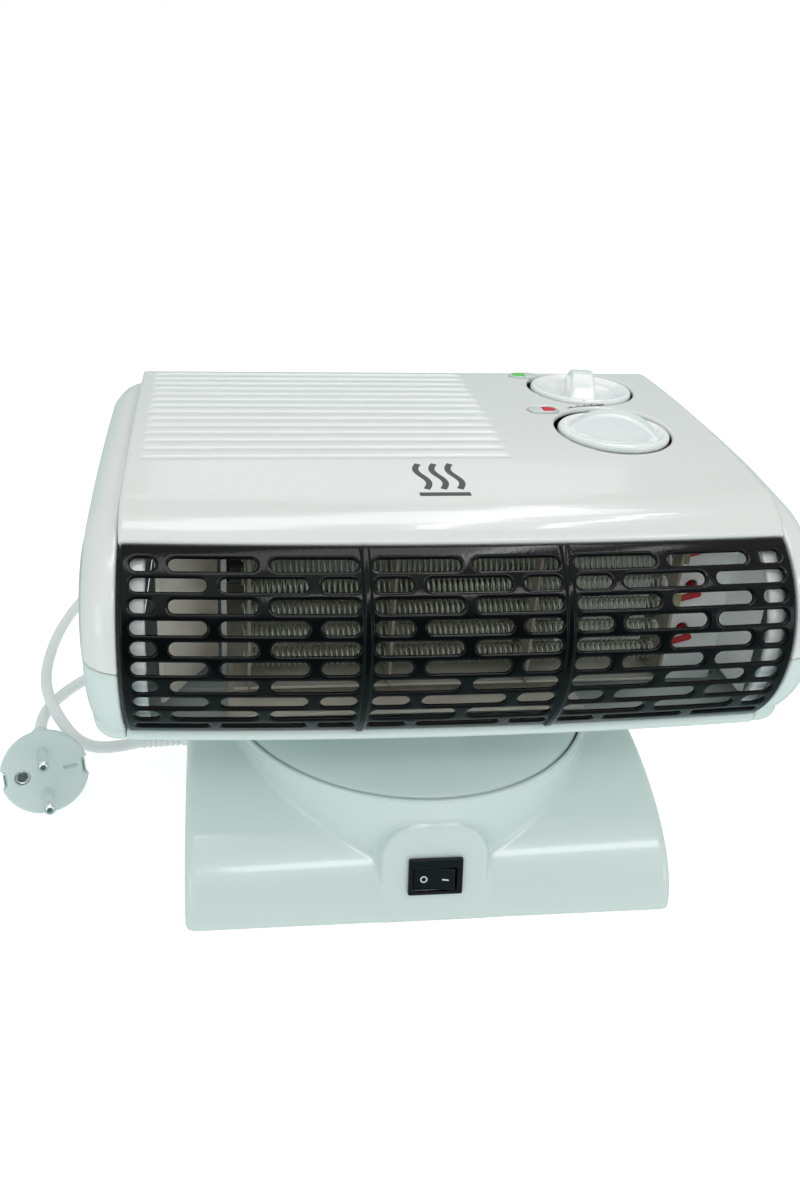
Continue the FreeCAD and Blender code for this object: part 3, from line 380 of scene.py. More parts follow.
# The top's white plastic painted whiter on the louvre bars: a painted highlight.
LOUVRE_PAINTED_HIGHLIGHT = shade("louvre_plastic_painted_highlight", (0.87, 0.875, 0.865), 0.22, spread=0.01, bump=0.03)
KNOB_WHITE = shade("knob_plastic", (0.87, 0.885, 0.88), 0.14, spread=0.01, bump=0.02,
                   sockets={"Coat Weight": 0.5, "Coat Roughness": 0.04})
GREY_INSERT = shade("smoke_insert", (0.50, 0.53, 0.54), 0.3, spread=0.03, bump=0.05)
BLACK = shade("black_gloss_plastic", (0.0018, 0.002, 0.0022), 0.11, broad=40, spread=0.15, bump=0.06,
              sockets={"IOR": 1.27})
BLACK_SATIN = shade("black_satin_plastic", (0.007, 0.009, 0.010), 0.38, spread=0.1, bump=0.15,
                    sockets={"IOR": 1.30})
# The sheet's own beige tone, painted much paler than the zinc sheet: painted light for the dim inside of the
# head.
DUCT_PAINTED_LIGHT = shade("duct_sheet_painted_light", (0.80, 0.765, 0.68), 0.36, broad=24, spread=0.10, bump=0.12,
             sockets={"Metallic": 0.15})
ZINC = shade("zinc_sheet", (0.56, 0.54, 0.48), 0.36, broad=30, spread=0.10, bump=0.12,
             sockets={"Metallic": 0.4})
STEEL = shade("bright_steel", (0.62, 0.62, 0.61), 0.25, broad=60, spread=0.06, bump=0.08, sockets=METAL)
IRON = shade("laminated_iron", (0.30, 0.30, 0.31), 0.5, broad=60, spread=0.12, bump=0.3, sockets=METAL)
COPPER = shade("copper_wire", (0.60, 0.27, 0.12), 0.3, broad=200, spread=0.15, bump=0.3, sockets=METAL)
BRASS = shade("brass", (0.70, 0.55, 0.28), 0.25, broad=60, spread=0.08, bump=0.06, sockets=METAL)
ALLOY = shade("fan_alloy", (0.66, 0.67, 0.68), 0.36, broad=40, spread=0.08, bump=0.1, sockets=METAL)
MICA = shade("mica", (0.20, 0.185, 0.15), 0.5, broad=120, spread=0.2, bump=0.3)
WIRE = shade("resistance_wire", (0.40, 0.41, 0.34), 0.40, broad=300, spread=0.2, bump=0.1,
             sockets={"Metallic": 0.6})
RUBBER = shade("rubber", (0.03, 0.03, 0.03), 0.7, broad=60, spread=0.15, bump=0.3)
RED = shade("red_lamp", (0.62, 0.002, 0.02), 0.3, spread=0.06, bump=0.03, sockets={"IOR": 1.2})
GREEN = shade("green_lamp", (0.10, 0.66, 0.08), 0.3, spread=0.06, bump=0.03, sockets={"IOR": 1.2})
RED_SLEEVE = shade("red_sleeve", (0.50, 0.010, 0.018), 0.42, spread=0.1, bump=0.1)
CORD_WHITE = shade("white_cord", (0.76, 0.79, 0.785), 0.36, broad=60, spread=0.025, bump=0.12)
# White plastic painted darker and cyan: painted shade on the plug.
PLUG_PAINTED_SHADE = shade("plug_plastic_painted_shade", (0.60, 0.69, 0.68), 0.28, broad=40, spread=0.03, bump=0.06)
PIN = shade("pin_metal", (0.86, 0.87, 0.86), 0.26, broad=60, spread=0.05, bump=0.04, sockets=METAL)
INK = shade("dark_print", (0.035, 0.038, 0.04), 0.4, spread=0.1, bump=0.05)
FINE_INK = shade("grey_print", (0.11, 0.11, 0.105), 0.45, spread=0.1, bump=0.05)
PALE_INK = shade("pale_print", (0.60, 0.62, 0.62), 0.45, spread=0.05, bump=0.05)
LENS = shade("clear_lens", (0.86, 0.90, 0.89), 0.06, spread=0.01, bump=0.01,
             sockets={"Transmission Weight": 0.35, "IOR": 1.49})


# ---- camera ----
CAMERA_AT = (-78.15, -357.8, 288.59)
CAMERA_TURN, CAMERA_TILT, CAMERA_ROLL = 5.9, 25.9, 1.9
LENS_LENGTH, LENS_SHIFT = 28.89, (0.0708, -0.0367)


def camera():
    """Stands in front of the heater, a little to its left, looking down on it."""
    turn, tilt, roll = (math.radians(a) for a in (CAMERA_TURN, CAMERA_TILT, CAMERA_ROLL))
    ahead = Vector((math.sin(turn) * math.cos(tilt), math.cos(turn) * math.cos(tilt), -math.sin(tilt)))
    level = Vector((math.cos(turn), -math.sin(turn), 0))
    above = level.cross(ahead)
    right = level * math.cos(roll) + above * math.sin(roll)
    above = above * math.cos(roll) - level * math.sin(roll)
    lens = bpy.data.cameras.new("camera")
    lens.sensor_width = 36
    lens.lens = LENS_LENGTH
    lens.shift_x, lens.shift_y = LENS_SHIFT
    lens.clip_start, lens.clip_end = 0.01, 20
    made = in_scene("camera", lens)
    made.matrix_world = Matrix((right, above, -ahead)).transposed().to_4x4()
    made.location = place(*CAMERA_AT)
    bpy.context.scene.camera = made


camera()

# ---- cord ----
ROUTE_A = [
    (-119.0, 21.4, 6.4), (-135.0, 20.0, 2.9), (-150.5, 27.0, 2.8), (-162.5, 43.0, 9.6),
    (-169.0, 61.0, 9.6), (-173.2, 80.0, 5.0), (-175.4, 101.0, 2.8), (-174.8, 126.0, 2.8),
    (-171.0, 151.0, 2.8), (-164.5, 176.0, 2.8), (-149.0, 199.0, 2.8), (-126.0, 207.5, 2.8),
    (-104.0, 201.5, 2.8), (-85.0, 190.5, 2.8), (-66.0, 186.2, 2.8),
]
ROUTE_B = [
    (-66.0, 109.8, 8.5), (-84.0, 110.4, 8.5), (-102.0, 107.6, 4.4), (-122.0, 102.5, 2.8), (-141.5, 93.0, 2.8),
    (-156.0, 79.0, 2.8), (-166.5, 62.0, 2.8), (-170.5, 46.0, 3.0), (-167.95, 30.8, 5.35),
]
COIL_CENTRE = (-66.0, 148.0)
COIL_OUTER, COIL_TURNS, COIL_STEP = 38.6, 4.5, 5.75


def coil_route():
    """Turns in one flat spiral to the middle of the coil, up a layer and out again on top of them."""
    points = []
    per_turn = 20
    count = int(COIL_TURNS * per_turn)
    half = COIL_TURNS / 2
    for i in range(1, count):
        t = i / per_turn
        angle = math.radians(90 - 360 * t)
        r = COIL_OUTER - COIL_STEP * (half - abs(half - t))
        rise = min(max((t - half) / 0.5 + 0.5, 0), 1)
        points.append((COIL_CENTRE[0] + r * math.cos(angle), COIL_CENTRE[1] + r * math.sin(angle),
                       CORD_D / 2 + (CORD_D + 0.1) * rise * rise * (3 - 2 * rise)))
    return points


def nurbs(name, route, radius):
    """A round cord along a route."""
    curve = bpy.data.curves.new(name, "CURVE")
    curve.dimensions = "3D"
    spline = curve.splines.new("NURBS")
    spline.points.add(len(route) - 1)
    for point, at in zip(spline.points, route):
        point.co = (*place(*at), 1)
    spline.order_u = 3
    spline.use_endpoint_u = True
    spline.resolution_u = 8
    curve.bevel_depth = radius * MM
    curve.bevel_resolution = 6
    curve.use_fill_caps = True
    return in_scene(name, curve)


mains = dress(nurbs("mains_cord", ROUTE_A + coil_route() + ROUTE_B, CORD_D / 2), "base", CORD_WHITE,
              ("supply_cord_a", "supply_cord_b", "cord_coil"))


def revolved(name, outline, centre, axis, body, material, replaces, count):
    """A turned piece from points given as (distance along the axis, radius)."""
    turn = Vector((0, 0, 1)).rotation_difference(Vector(axis))
    verts = []
    for s, r in outline:
        for i in range(count):
            angle = 2 * math.pi * i / count
            verts.append(Vector(centre) + turn @ Vector((r * math.cos(angle), r * math.sin(angle), s)))
    return piece(name, verts, tube(0, len(outline), count), body, material, replaces)


def eased(points, rounds):
    """An open outline with its corners cut off, again and again."""
    for _ in range(rounds):
        cutting = [points[0]]
        for (a, b), (c, d) in zip(points, points[1:]):
            cutting.append((0.75 * a + 0.25 * c, 0.75 * b + 0.25 * d))
            cutting.append((0.25 * a + 0.75 * c, 0.25 * b + 0.75 * d))
        points = cutting + [points[-1]]
    return points


def strain_relief():
    """A tapered sleeve with a flange against the base and rings moulded round it."""
    outline = [(0.5, 0.1), (0.5, 4), (0.7, 6), (2.7, 6.2), (3.0, 4.9), (4, 4.6)]
    for i in range(7):
        s = 5.2 + 2.6 * i
        r = 4.45 - 0.16 * i
        outline += [(s, r), (s + 0.3, r - 0.55), (s + 1.1, r - 0.6), (s + 1.4, r - 0.05)]
    outline += [(23.4, 3.4), (24, 3.1), (24, 2.7)]
    start, end = Vector((-BASE_X, 22, 9)), Vector(ROUTE_A[0])
    axis = (end - start).normalized()
    return revolved("strain_relief", eased(outline, 1), end - axis * 24, axis, "base", CORD_WHITE,
                    ("cord_gland",), 48)


PLUG_FACE = Vector((-157.0, -16.0, 19.1))
PLUG_AXIS = Vector((0.219, -0.936, 0.275)).normalized()
PLUG_LEAN = math.radians(2)
PLUG_R, PLUG_L, PIN_SPACING = 18.9, 50.0, 19.0
EARTH_HOLE = (9.4, 0.5)


def plug_frame():
    """The plug's own axes as columns: across, along its pins, and out of its face."""
    across = PLUG_AXIS.cross(Vector((0, 0, 1))).normalized()
    up = PLUG_AXIS.cross(across)
    lean = Matrix.Rotation(PLUG_LEAN, 3, PLUG_AXIS)
    return np.array([lean @ across, lean @ up, PLUG_AXIS]).T


def from_plug(points):
    """From the plug's own axes to the swivel's."""
    return points @ plug_frame().T + np.array(PLUG_FACE)


def plug_shell():
    """Round face, waisted body and tapering tail, with a slot on each side for the earth contacts."""
    def field(x, y, z):
        r = np.hypot(x, y)
        s = -z
        radius = smooth_max(19.3 - 0.30 * s - 0.004 * s * s, 12.6 - 0.17 * s, 1.5)
        radius = smooth_min(radius, PLUG_R, 1.0)
        d = smooth_max((r - radius) * 0.9, np.abs(s - PLUG_L / 2 + 0.1) - PLUG_L / 2, 1.1)
        for side in (-1, 1):
            notch = block(x, y, z, (side * 19.5, 0, -6), (3.6, 3.6, 9), 1.0)
            d = cut(d, notch, 0.8)
        d = cut(d, np.maximum(np.hypot(x - EARTH_HOLE[0], y - EARTH_HOLE[1]) - 3.3, -z - 9), 0.6)
        d = cut(d, block(x, y, z, (-10.8, -0.6, 0), (2.9, 0.8, 1.2), 0.5), 0.6)
        d = cut(d, np.abs(z + 1.6) - 0.35 + np.maximum(PLUG_R - 0.7 - r, 0), 0.3)
        for ring in range(5):
            groove = np.maximum(np.abs(s - 33 - 3 * ring) - 0.6, 3.6 - r)
            d = cut(d, np.maximum(groove, r - 30) + np.where(np.abs(x) < 5, 0.0, 0.6), 0.5)
        return d
    return moulded("plug_shell", field, (-19.5, -19.5, -50.5), (19.5, 19.5, 1), 0.7, "base", PLUG_PAINTED_SHADE,
                   ("plug_body",), from_plug)


def plug_metal():
    """Two round pins, side contacts, and the liner of the earth hole."""
    def field(x, y, z):
        d = 99.0
        for side in (-1, 1):
            r = np.hypot(x, y - side * PIN_SPACING / 2)
            d = np.minimum(d, rounded(r - 2.4, np.abs(z - 6.5) - 12.2, 1.6))
            d = np.minimum(d, block(x, y, z, (side * 16.6, 0, -7), (0.7, 2.9, 6.4), 0.4))
        liner = np.abs(np.hypot(x - EARTH_HOLE[0], y - EARTH_HOLE[1]) - 2.7) - 0.45
        return np.minimum(d, smooth_max(liner, np.abs(z + 4.6) - 4.0, 0.3))
    return moulded("plug_metal", field, (-18, -13, -16), (18, 13, 20), 0.5, "base", PIN,
                   ("plug_contacts",), from_plug)


def tie():
    """A flat band round the stowed coil, with its buckle."""
    x, y = COIL_CENTRE
    low, high = x + 22.0, x + 41.6
    middle, half = (low + high) / 2, (high - low) / 2

    def field(px, py, pz):
        out = block(px, py, pz, (middle, y, 6.3), (half + 0.9, 3.2, 6.2), 2.6)
        hole = block(px, py, pz, (middle, y, 6.1), (half - 0.2, 9, 5.5), 2.0)
        buckle = block(px, py, pz, (middle + 4, y, 12.1), (3.2, 4.0, 0.7), 0.5)
        return np.minimum(cut(out, hole, 0.3), buckle)
    return moulded("cord_band", field, (low - 2, y - 5, -1.2), (high + 2, y + 5, 13), 0.4, "base", RUBBER,
                   ("cord_tie",))


gland, plug, contacts, band = strain_relief(), plug_shell(), plug_metal(), tie()


# ---- head ----
LOUVRE_X0, LOUVRE_X1, LOUVRE_Y0, LOUVRE_Y1 = -107.0, 25.5, -34.0, 53.0
LOUVRE_SLOTS, LOUVRE_W = 14, 1.9
BAR_W, BAR_H, BAR_ROOT, BAR_TAPER = 1.9, 1.2, 0.6, 4.0
LOUVRE_PITCH = (LOUVRE_Y1 - LOUVRE_Y0) / (LOUVRE_SLOTS - 1)


def louvre_slots(x, y):
    """Narrow slots, each just behind its raised bar."""
    middle, half = (LOUVRE_X0 + LOUVRE_X1) / 2, (LOUVRE_X1 - LOUVRE_X0) / 2 - 1
    behind = y - LOUVRE_Y0 - (BAR_W + LOUVRE_W) / 2
    row = np.clip(np.round(behind / LOUVRE_PITCH), 0, LOUVRE_SLOTS - 1)
    return stadium(x - middle, behind - row * LOUVRE_PITCH, half, LOUVRE_W / 2)


def louvre_bars():
    """Low rounded bars along the front edge of each inlet slot, running out to nothing at both ends."""
    verts, faces = [], []
    across, along = 10, 28
    middle, half = (LOUVRE_X0 + LOUVRE_X1) / 2, (LOUVRE_X1 - LOUVRE_X0) / 2 + 1
    for row in range(LOUVRE_SLOTS):
        y0, first = LOUVRE_Y0 + row * LOUVRE_PITCH, len(verts)
        for i in range(along + 1):
            t = -math.cos(math.pi * i / along)
            tapered = max((abs(t) * half - half + BAR_TAPER) / BAR_TAPER, 0)
            full = math.sqrt(max(1 - tapered ** 2, 0.0004))
            for j in range(across):
                angle = 2 * math.pi * j / across
                y = y0 + BAR_W / 2 * full * math.cos(angle)
                lift = BAR_H * full if angle < math.pi else BAR_ROOT
                verts.append((middle + half * t, y, crown(y) + lift * math.sin(angle)))
        faces += tube(first, along + 1, across)
    # The bars' whiter material is a painted highlight.
    piece("louvre_bars", verts, faces, "head", LOUVRE_PAINTED_HIGHLIGHT, ("top_shell",))


def screw_places():
    return [(x, y) for x in (-100, 100) for y in (-40, 52)]


def top_field(x, y, z):
    """Upper half of the head, with the inlet, the dials' and lamps' openings, end walls and ribs."""
    outer = HEAD(y, z)
    inlet = np.clip(1.5 - 0.5 * np.maximum(np.maximum(LOUVRE_X0 - x, x - LOUVRE_X1),
                                           np.maximum(LOUVRE_Y0 - 2 - y, y - LOUVRE_Y1 - 2)), 0, 1)
    d = np.maximum(outer, -outer - WALL - 1.6 * inlet)
    end_web = np.maximum(np.abs(np.abs(x) - SHELL_X + 0.9) - 0.9, np.maximum(outer, -CAP(y, z) - 3))
    d = np.minimum(d, end_web)
    d = smooth_max(d, past_ray(y, z, FACE_TOP) + 0.5, 0.5)
    d = smooth_max(d, np.abs(x) - SHELL_X, 0.9)
    d = smooth_max(d, SPLIT_Z - z, 0.4)
    only_top = np.where(z > 150, 0, 99)
    d = cut(d, louvre_slots(x, y) + only_top, 0.8)
    for cx, cy, _ in (THERMOSTAT, SELECTOR):
        d = cut(d, np.hypot(x - cx + 0.35, y - cy) - DIAL_WELL_R + only_top, 0.9)
    for cx, cy in (RED_LAMP, GREEN_LAMP):
        d = cut(d, stadium(x - cx, y - cy, LENS_L / 2 + 0.2, LENS_W / 2 + 0.2) + only_top, 0.5)
    d = np.minimum(d, np.maximum(flange(x, y, z), SPLIT_Z - z))
    for bar in (-84, -62, -40, -18, 4):
        rib = np.maximum(np.abs(x - bar) - 0.8, np.abs(outer + 4.4) - 1.6)
        rib = np.maximum(rib, np.abs(y - 9.5) - 46)
        d = np.minimum(d, np.maximum(rib, 150 - z))
    return d


def flange(x, y, z):
    """The ledges close behind the outlet grille's two ends, which it clips on to."""
    r = np.hypot(y - FACE_Y, z - FACE_Z)
    band = np.maximum(np.abs(np.abs(x) - 106.7) - 2.8, np.abs(r - FACE_R + 4.2) - 1.1)
    return np.maximum(band, y - FACE_Y + 14)


def bottom_field(x, y, z):
    """Lower half of the head, open at the outlet, with screw posts and a hole for the leads."""
    outer = HEAD(y, z)
    d = np.maximum(outer, -outer - WALL)
    window = np.maximum(-past_ray(y, z, FACE_END) + 0.4, y - FACE_Y)
    window = np.where(y < FACE_Y, window, -99.0)
    d = smooth_max(d, window, 0.5)
    d = smooth_max(d, np.abs(x) - SHELL_X, 0.9)
    d = smooth_max(d, z - SPLIT_Z + 0.2, 0.4)
    for cx, cy in screw_places():
        r = np.hypot(x - cx, y - cy)
        d = np.minimum(d, np.maximum(r - 4, np.maximum(z - SPLIT_Z + 0.2, FLOOR_Z + 1 - z)))
        d = cut(d, np.maximum(r - 3.4, z - FLOOR_Z - 3), 0.3)
    d = cut(d, np.hypot(x, y) - 10, 0.5)
    d = np.minimum(d, np.maximum(flange(x, y, z), z - SPLIT_Z + 0.2))
    return d


def shells():
    moulded("top_cover", top_field, (-114, -100, 116), (114, 74, 177), 0.85, "head", WHITE,
            ("top_shell",), bowed)
    louvre_bars()
    moulded("bottom_cover", bottom_field, (-114, -100, 83), (114, 74, 118), 1.0, "head", WHITE_PAINTED_SHADE,
            ("bottom_shell",), bowed)


def cap_fields(side):
    """Upper and lower half of one end cap, parted at its seam."""
    def whole(x, y, z):
        ends = side * x
        bend = CAP_ROUND + 8 * np.clip((y - 45) / 28, 0, 1)
        outer = rounded(CAP(y, z), ends - CAP_X, bend)
        d = np.maximum(outer, -(outer + WALL))
        d = smooth_max(d, SHELL_X + 0.3 - ends, 0.8)
        return cut(d, insert_field(0.6, CAP_X - 1.2, CAP_X + 5, side)(x, y, z), 0.5)

    def upper(x, y, z):
        return smooth_max(whole(x, y, z), SPLIT_Z + 0.05 + seam(x, y) - z, 0.6)

    def lower(x, y, z):
        return smooth_max(whole(x, y, z), z - SPLIT_Z + 0.25 - seam(x, y), 0.6)
    return upper, lower


def seam(x, y):
    """The caps' seam climbs a little towards the front, and more towards the outer end."""
    return np.clip((-40 - y) / 60, 0, 1) * (1.2 + 2.4 * np.clip((np.abs(x) - SHELL_X) / 12, 0, 1))


INSERT_FRONT, INSERT_REAR = -57, 56      # where its round front end starts, and its rear edge


def insert_field(grow, x0, x1, side):
    """A rounded plate let into the cap's end face, from x0 to x1."""
    def field(x, y, z):
        back = np.clip((y - INSERT_FRONT) / 100, 0, 1)
        half_h = 26.2 + 1.4 * back + grow
        middle = 121.5 + 3.2 * back
        front = np.hypot(np.minimum(y - INSERT_FRONT, 0), z - middle) - half_h
        corner = rounded(np.abs(z - middle) - half_h, y - INSERT_REAR - grow, 9)
        plate = np.where(y < INSERT_FRONT, front, corner)
        return rounded(plate, np.abs(side * x - (x0 + x1) / 2) - (x1 - x0) / 2, 0.5)
    return field


def caps():
    for name, side in (("left", -1), ("right", 1)):
        upper, lower = cap_fields(side)
        span = sorted((side * (SHELL_X - 1), side * (CAP_X + 1)))
        moulded(name + "_cap_top", upper, (span[0], -100, 116), (span[1], 74, 171), 0.9, "head", WHITE,
                (name + "_cap_upper",), bowed)
        moulded(name + "_cap_bottom", lower, (span[0], -100, 83), (span[1], 74, 124), 0.9, "head", WHITE_PAINTED_SHADE,
                (name + "_cap_lower",), bowed)
        plate = insert_field(0, CAP_X - 1.1, CAP_X + 1.5, side)
        span = sorted((side * (CAP_X - 2), side * (CAP_X + 2)))
        moulded(name + "_insert", plate, (span[0], -90, 90), (span[1], 60, 155), 0.5, "head", GREY_INSERT,
                (name + "_side_insert",), bowed)


UNIT = 0.81              # millimetres to one unit of the slot rows below
GRILLE_T = 1.6
ODD_ROW = ((-134, -124), (-119, -84), (-79, -44), (-38, -2.5))
EVEN_ROW = ((-134, -104), (-99, -64), (-59, -44), (-38, -22.5))
ROWS, SLOT_H, SLOT_TOP_ANGLE, SLOT_STEP = 10, 4.4, 129.2, 9.38
SHORT_SLOT, LAST_SLOT_HALF_H = 17.5, 1.5
RIB_X, RIB_HALF_W = 33.2, 1.3


def grille():
    """A curved black plate with staggered rows of slots, drawn flat as x, arc length and radius."""
    def field(x, s, r):
        d = smooth_max(np.abs(r - FACE_R + GRILLE_T / 2) - GRILLE_T / 2, np.abs(x) - GRILLE_X, 0.5)
        arc0, arc1 = (math.radians(a) * FACE_R for a in (FACE_TOP, FACE_END - 1.5))
        along = np.abs(s - (arc0 + arc1) / 2) - (arc1 - arc0) / 2
        d = smooth_max(d, along, 0.6)
        near = np.abs(x) / UNIT
        for row in range(ROWS):
            height = s - math.radians(SLOT_TOP_ANGLE + row * SLOT_STEP) * FACE_R
            half_h = LAST_SLOT_HALF_H if row == ROWS - 1 else SLOT_H / 2 + 0.07 * max(row - 2, 0)
            for a, b in (EVEN_ROW if row % 2 else ODD_ROW):
                middle, half = -(a + b) / 2, (b - a) / 2
                slot = stadium((near - middle) * UNIT, height, half * UNIT, half_h)
                d = cut(d, slot, 0.9)
            if row % 2:
                d = cut(d, stadium(x, height, SHORT_SLOT * UNIT, half_h), 0.9)
        for rib in (-RIB_X, RIB_X):
            edge = np.maximum(along + 1, np.abs(r - 41.3) - 1.9)
            d = smooth_min(d, smooth_max(np.abs(x - rib) - RIB_HALF_W, edge, 0.6), 0.5)
        return d

    def wrap(points):
        angle = points[:, 1] / FACE_R
        flat = np.stack([points[:, 0], FACE_Y + points[:, 2] * np.cos(angle),
                         FACE_Z + points[:, 2] * np.sin(angle)], 1)
        return bowed(flat)
    arc0, arc1 = (math.radians(a) * FACE_R for a in (FACE_TOP, FACE_END))
    made = moulded("outlet_grille", field, (-GRILLE_X, arc0, 38.6), (GRILLE_X, arc1, 43.8), 0.55, "head",
                   BLACK, ("front_grille",), wrap)
    made.data.flip_normals()         # wrap mirrors the plate


def dial(name, centre, degrees, body, node):
    """A deeply dished disc with a half-moon grip across it and a pointer notch at one end of the grip."""
    cx, cy, top = centre

    def field(x, y, z):
        r = np.hypot(x, y)
        disc = rounded(r - DIAL_R, np.abs(z + 2.1) - 2.1, 1.9)
        disc = smooth_min(disc, rounded(r - 18.4, np.abs(z + 4) - 3.4, 1.0), 0.8)
        bowl = np.hypot(r, z - 37.5) - 42.2
        disc = cut(disc, np.maximum(bowl, -z - 9), 1.0)
        disc = smooth_min(disc, np.abs(np.hypot(r - 15.6, z + 1.9)) - 0.55, 0.5)
        moon_r = 22.6
        moon = np.hypot(x, z + moon_r - DIAL_GRIP_H) - moon_r
        thick = np.abs(y) - 4.7 - 0.09 * np.clip(DIAL_GRIP_H - z, 0, 12)
        grip = smooth_max(smooth_max(moon, thick, 1.6), np.maximum(-z - 5.6, r - 19.6), 0.5)
        d = smooth_min(disc, grip, 1.0)
        return cut(d, block(x, y, z, (-19.2, 0, -0.4), (1.6, 0.45, 0.9), 0.2), 0.3)

    def turned(points):
        c, s = math.cos(math.radians(degrees)), math.sin(math.radians(degrees))
        spin = np.array([[c, s, 0], [-s, c, 0], [0, 0, 1]])
        return points @ spin + np.array([cx, cy, top])
    moulded(name, field, (-21.6, -21.6, -7.8), (21.6, 21.6, 7.2), 0.5, body, KNOB_WHITE, (node,),
            turned)


def lamps():
    """Oval windows let into the top: one half clear, and the coloured lamp's own face in the other."""
    for name, node, (cx, cy), side, colour, slot in (
            ("power_indicator", "power_lamp", RED_LAMP, 1, RED, "red_lamp"),
            ("heat_indicator", "heat_lamp", GREEN_LAMP, -1, GREEN, "green_lamp")):
        top = crown(cy)

        def split(x):
            return side * (x - cx) + 0.7

        def lens(x, y, z):
            oval = stadium(x - cx, y - cy, LENS_L / 2, LENS_W / 2)
            plate = rounded(oval, np.abs(z - top + 1.0) - 1.5, 0.9)
            return cut(plate, np.maximum(0.3 - split(x), oval + 0.9), 0.3)

        def glow(x, y, z):
            oval = stadium(x - cx, y - cy, LENS_L / 2 - 1.0, LENS_W / 2 - 1.0)
            return rounded(np.maximum(oval, 0.5 - split(x)), np.abs(z - top + 2.4) - 2.7, 0.5)
        low, high = (cx - 7, cy - 5, top - 7), (cx + 7, cy + 5, top + 2)
        moulded(name + "_lens", lens, low, high, 0.35, "head", LENS,
                ("indicator_lenses",) if name.startswith("power") else ())
        moulded(name, glow, low, high, 0.35, "head", colour, (node,))


# ---- printed signs ----
def strokes(name, lines, width, material):
    """Thin raised strokes printed on the head's top, each a line of (x, y) points."""
    verts, faces = [], []
    for line in lines:
        first, count = len(verts), len(line)
        for i, (x, y) in enumerate(line):
            (ax, ay), (bx, by) = line[max(i - 1, 0)], line[min(i + 1, count - 1)]
            length = math.hypot(bx - ax, by - ay)
            sx, sy = -(by - ay) / length * width / 2, (bx - ax) / length * width / 2
            for side, lift in ((-1, -0.1), (-1, 0.07), (1, 0.07), (1, -0.1)):
                px, py = x + side * sx, y + side * sy
                verts.append((px, py, crown(py) + lift))
        faces += tube(first, count, 4)
    piece(name, verts, faces, "head", material, (), smooth=False)


def heat_sign():
    """Three waves of rising warmth over a bar, as on any heater."""
    cx, y0, y1 = -3.8, -57.5, -39.5
    spacing, sway, steps = 5.8, 1.6, 24
    bar_y, bar_half = y0 - 3.4, 8.8
    lines = []
    for k in (-1, 0, 1):
        lines.append([(cx + spacing * k + sway * math.sin(2 * math.pi * i / steps),
                       y0 + (y1 - y0) * i / steps) for i in range(steps + 1)])
    lines.append([(cx - bar_half, bar_y), (cx, bar_y), (cx + bar_half, bar_y)])
    strokes("heat_sign", lines, 2.2, INK)


def scale_signs():
    """Plain strokes of the dials' scales, and the front dial's dot."""
    x0, y0, rise = 63.5, 14.2, 0.27
    lines = []
    for k in range(7):
        x = x0 + 3.2 * k
        y = y0 + rise * (x - x0)
        lines.append([(x, y - 0.9), (x + 0.5 + 0.12 * k, y + 0.4 + 0.15 * k)])
    pitch = 2.1
    lines.append([(x0 - 1.5 + pitch * i, y0 - 1.9 + rise * pitch * i + 0.3 * math.sin(0.8 * i))
                  for i in range(9)])
    lines.append([(71.1, -25.1), (71.9, -25.1)])
    strokes("scale_signs", lines, 0.65, FINE_INK)


# ---- turntable and base ----
def turntable():
    """Crowned disc with a rolled edge, sweeping up into the neck, its hub and shoulder under it."""
    dome = [(49, 10.2), (42.6, 14), (42.6, 20), (49, 20.2), (49, 74.6), (45.7, 75.2), (45.6, 77.0),
            (46.4, 77.6), (49.6, 77.6), (50.4, 77.1), (51.2, 75.6), (52.6, 70.5), (53.8, 64), (54.8, 57),
            (55.6, 52), (56.8, 48.6), (59, 46.7), (63, 46.0), (70, 45.9), (78, 46), (82.6, 46), (83.4, 45.8)]
    revolved("turntable_disc", eased(dome, 2), (0, 0, 0), (0, 0, 1), "head", WHITE_PAINTED_SHADE, ("turntable",),
             160)


LOAF_H, TOWER_R = 47.5, 80.0
BOSS_TILT, BOSS_HALF, BOSS_H, BOSS_CORNER = math.radians(13), 21.5, 42.0, 14.0
SWITCH_UP = 20.5


def boss_axes(y, z):
    """Height up the switch boss's leaning face, and depth behind it."""
    dy = y + BASE_Y - 0.1
    sine, cosine = math.sin(BOSS_TILT), math.cos(BOSS_TILT)
    return dy * sine + z * cosine, dy * cosine - z * sine


def loaf(y, z, inset=0.0):
    """About the distance to the half ellipse that is the base's side outline."""
    a, b = BASE_Y - inset, LOAF_H - inset
    near = np.sqrt((y / a) ** 2 + (z / b) ** 2) + 1e-6
    return near * (near - 1) / (np.sqrt((y / a**2) ** 2 + (z / b**2) ** 2) + 1e-6)


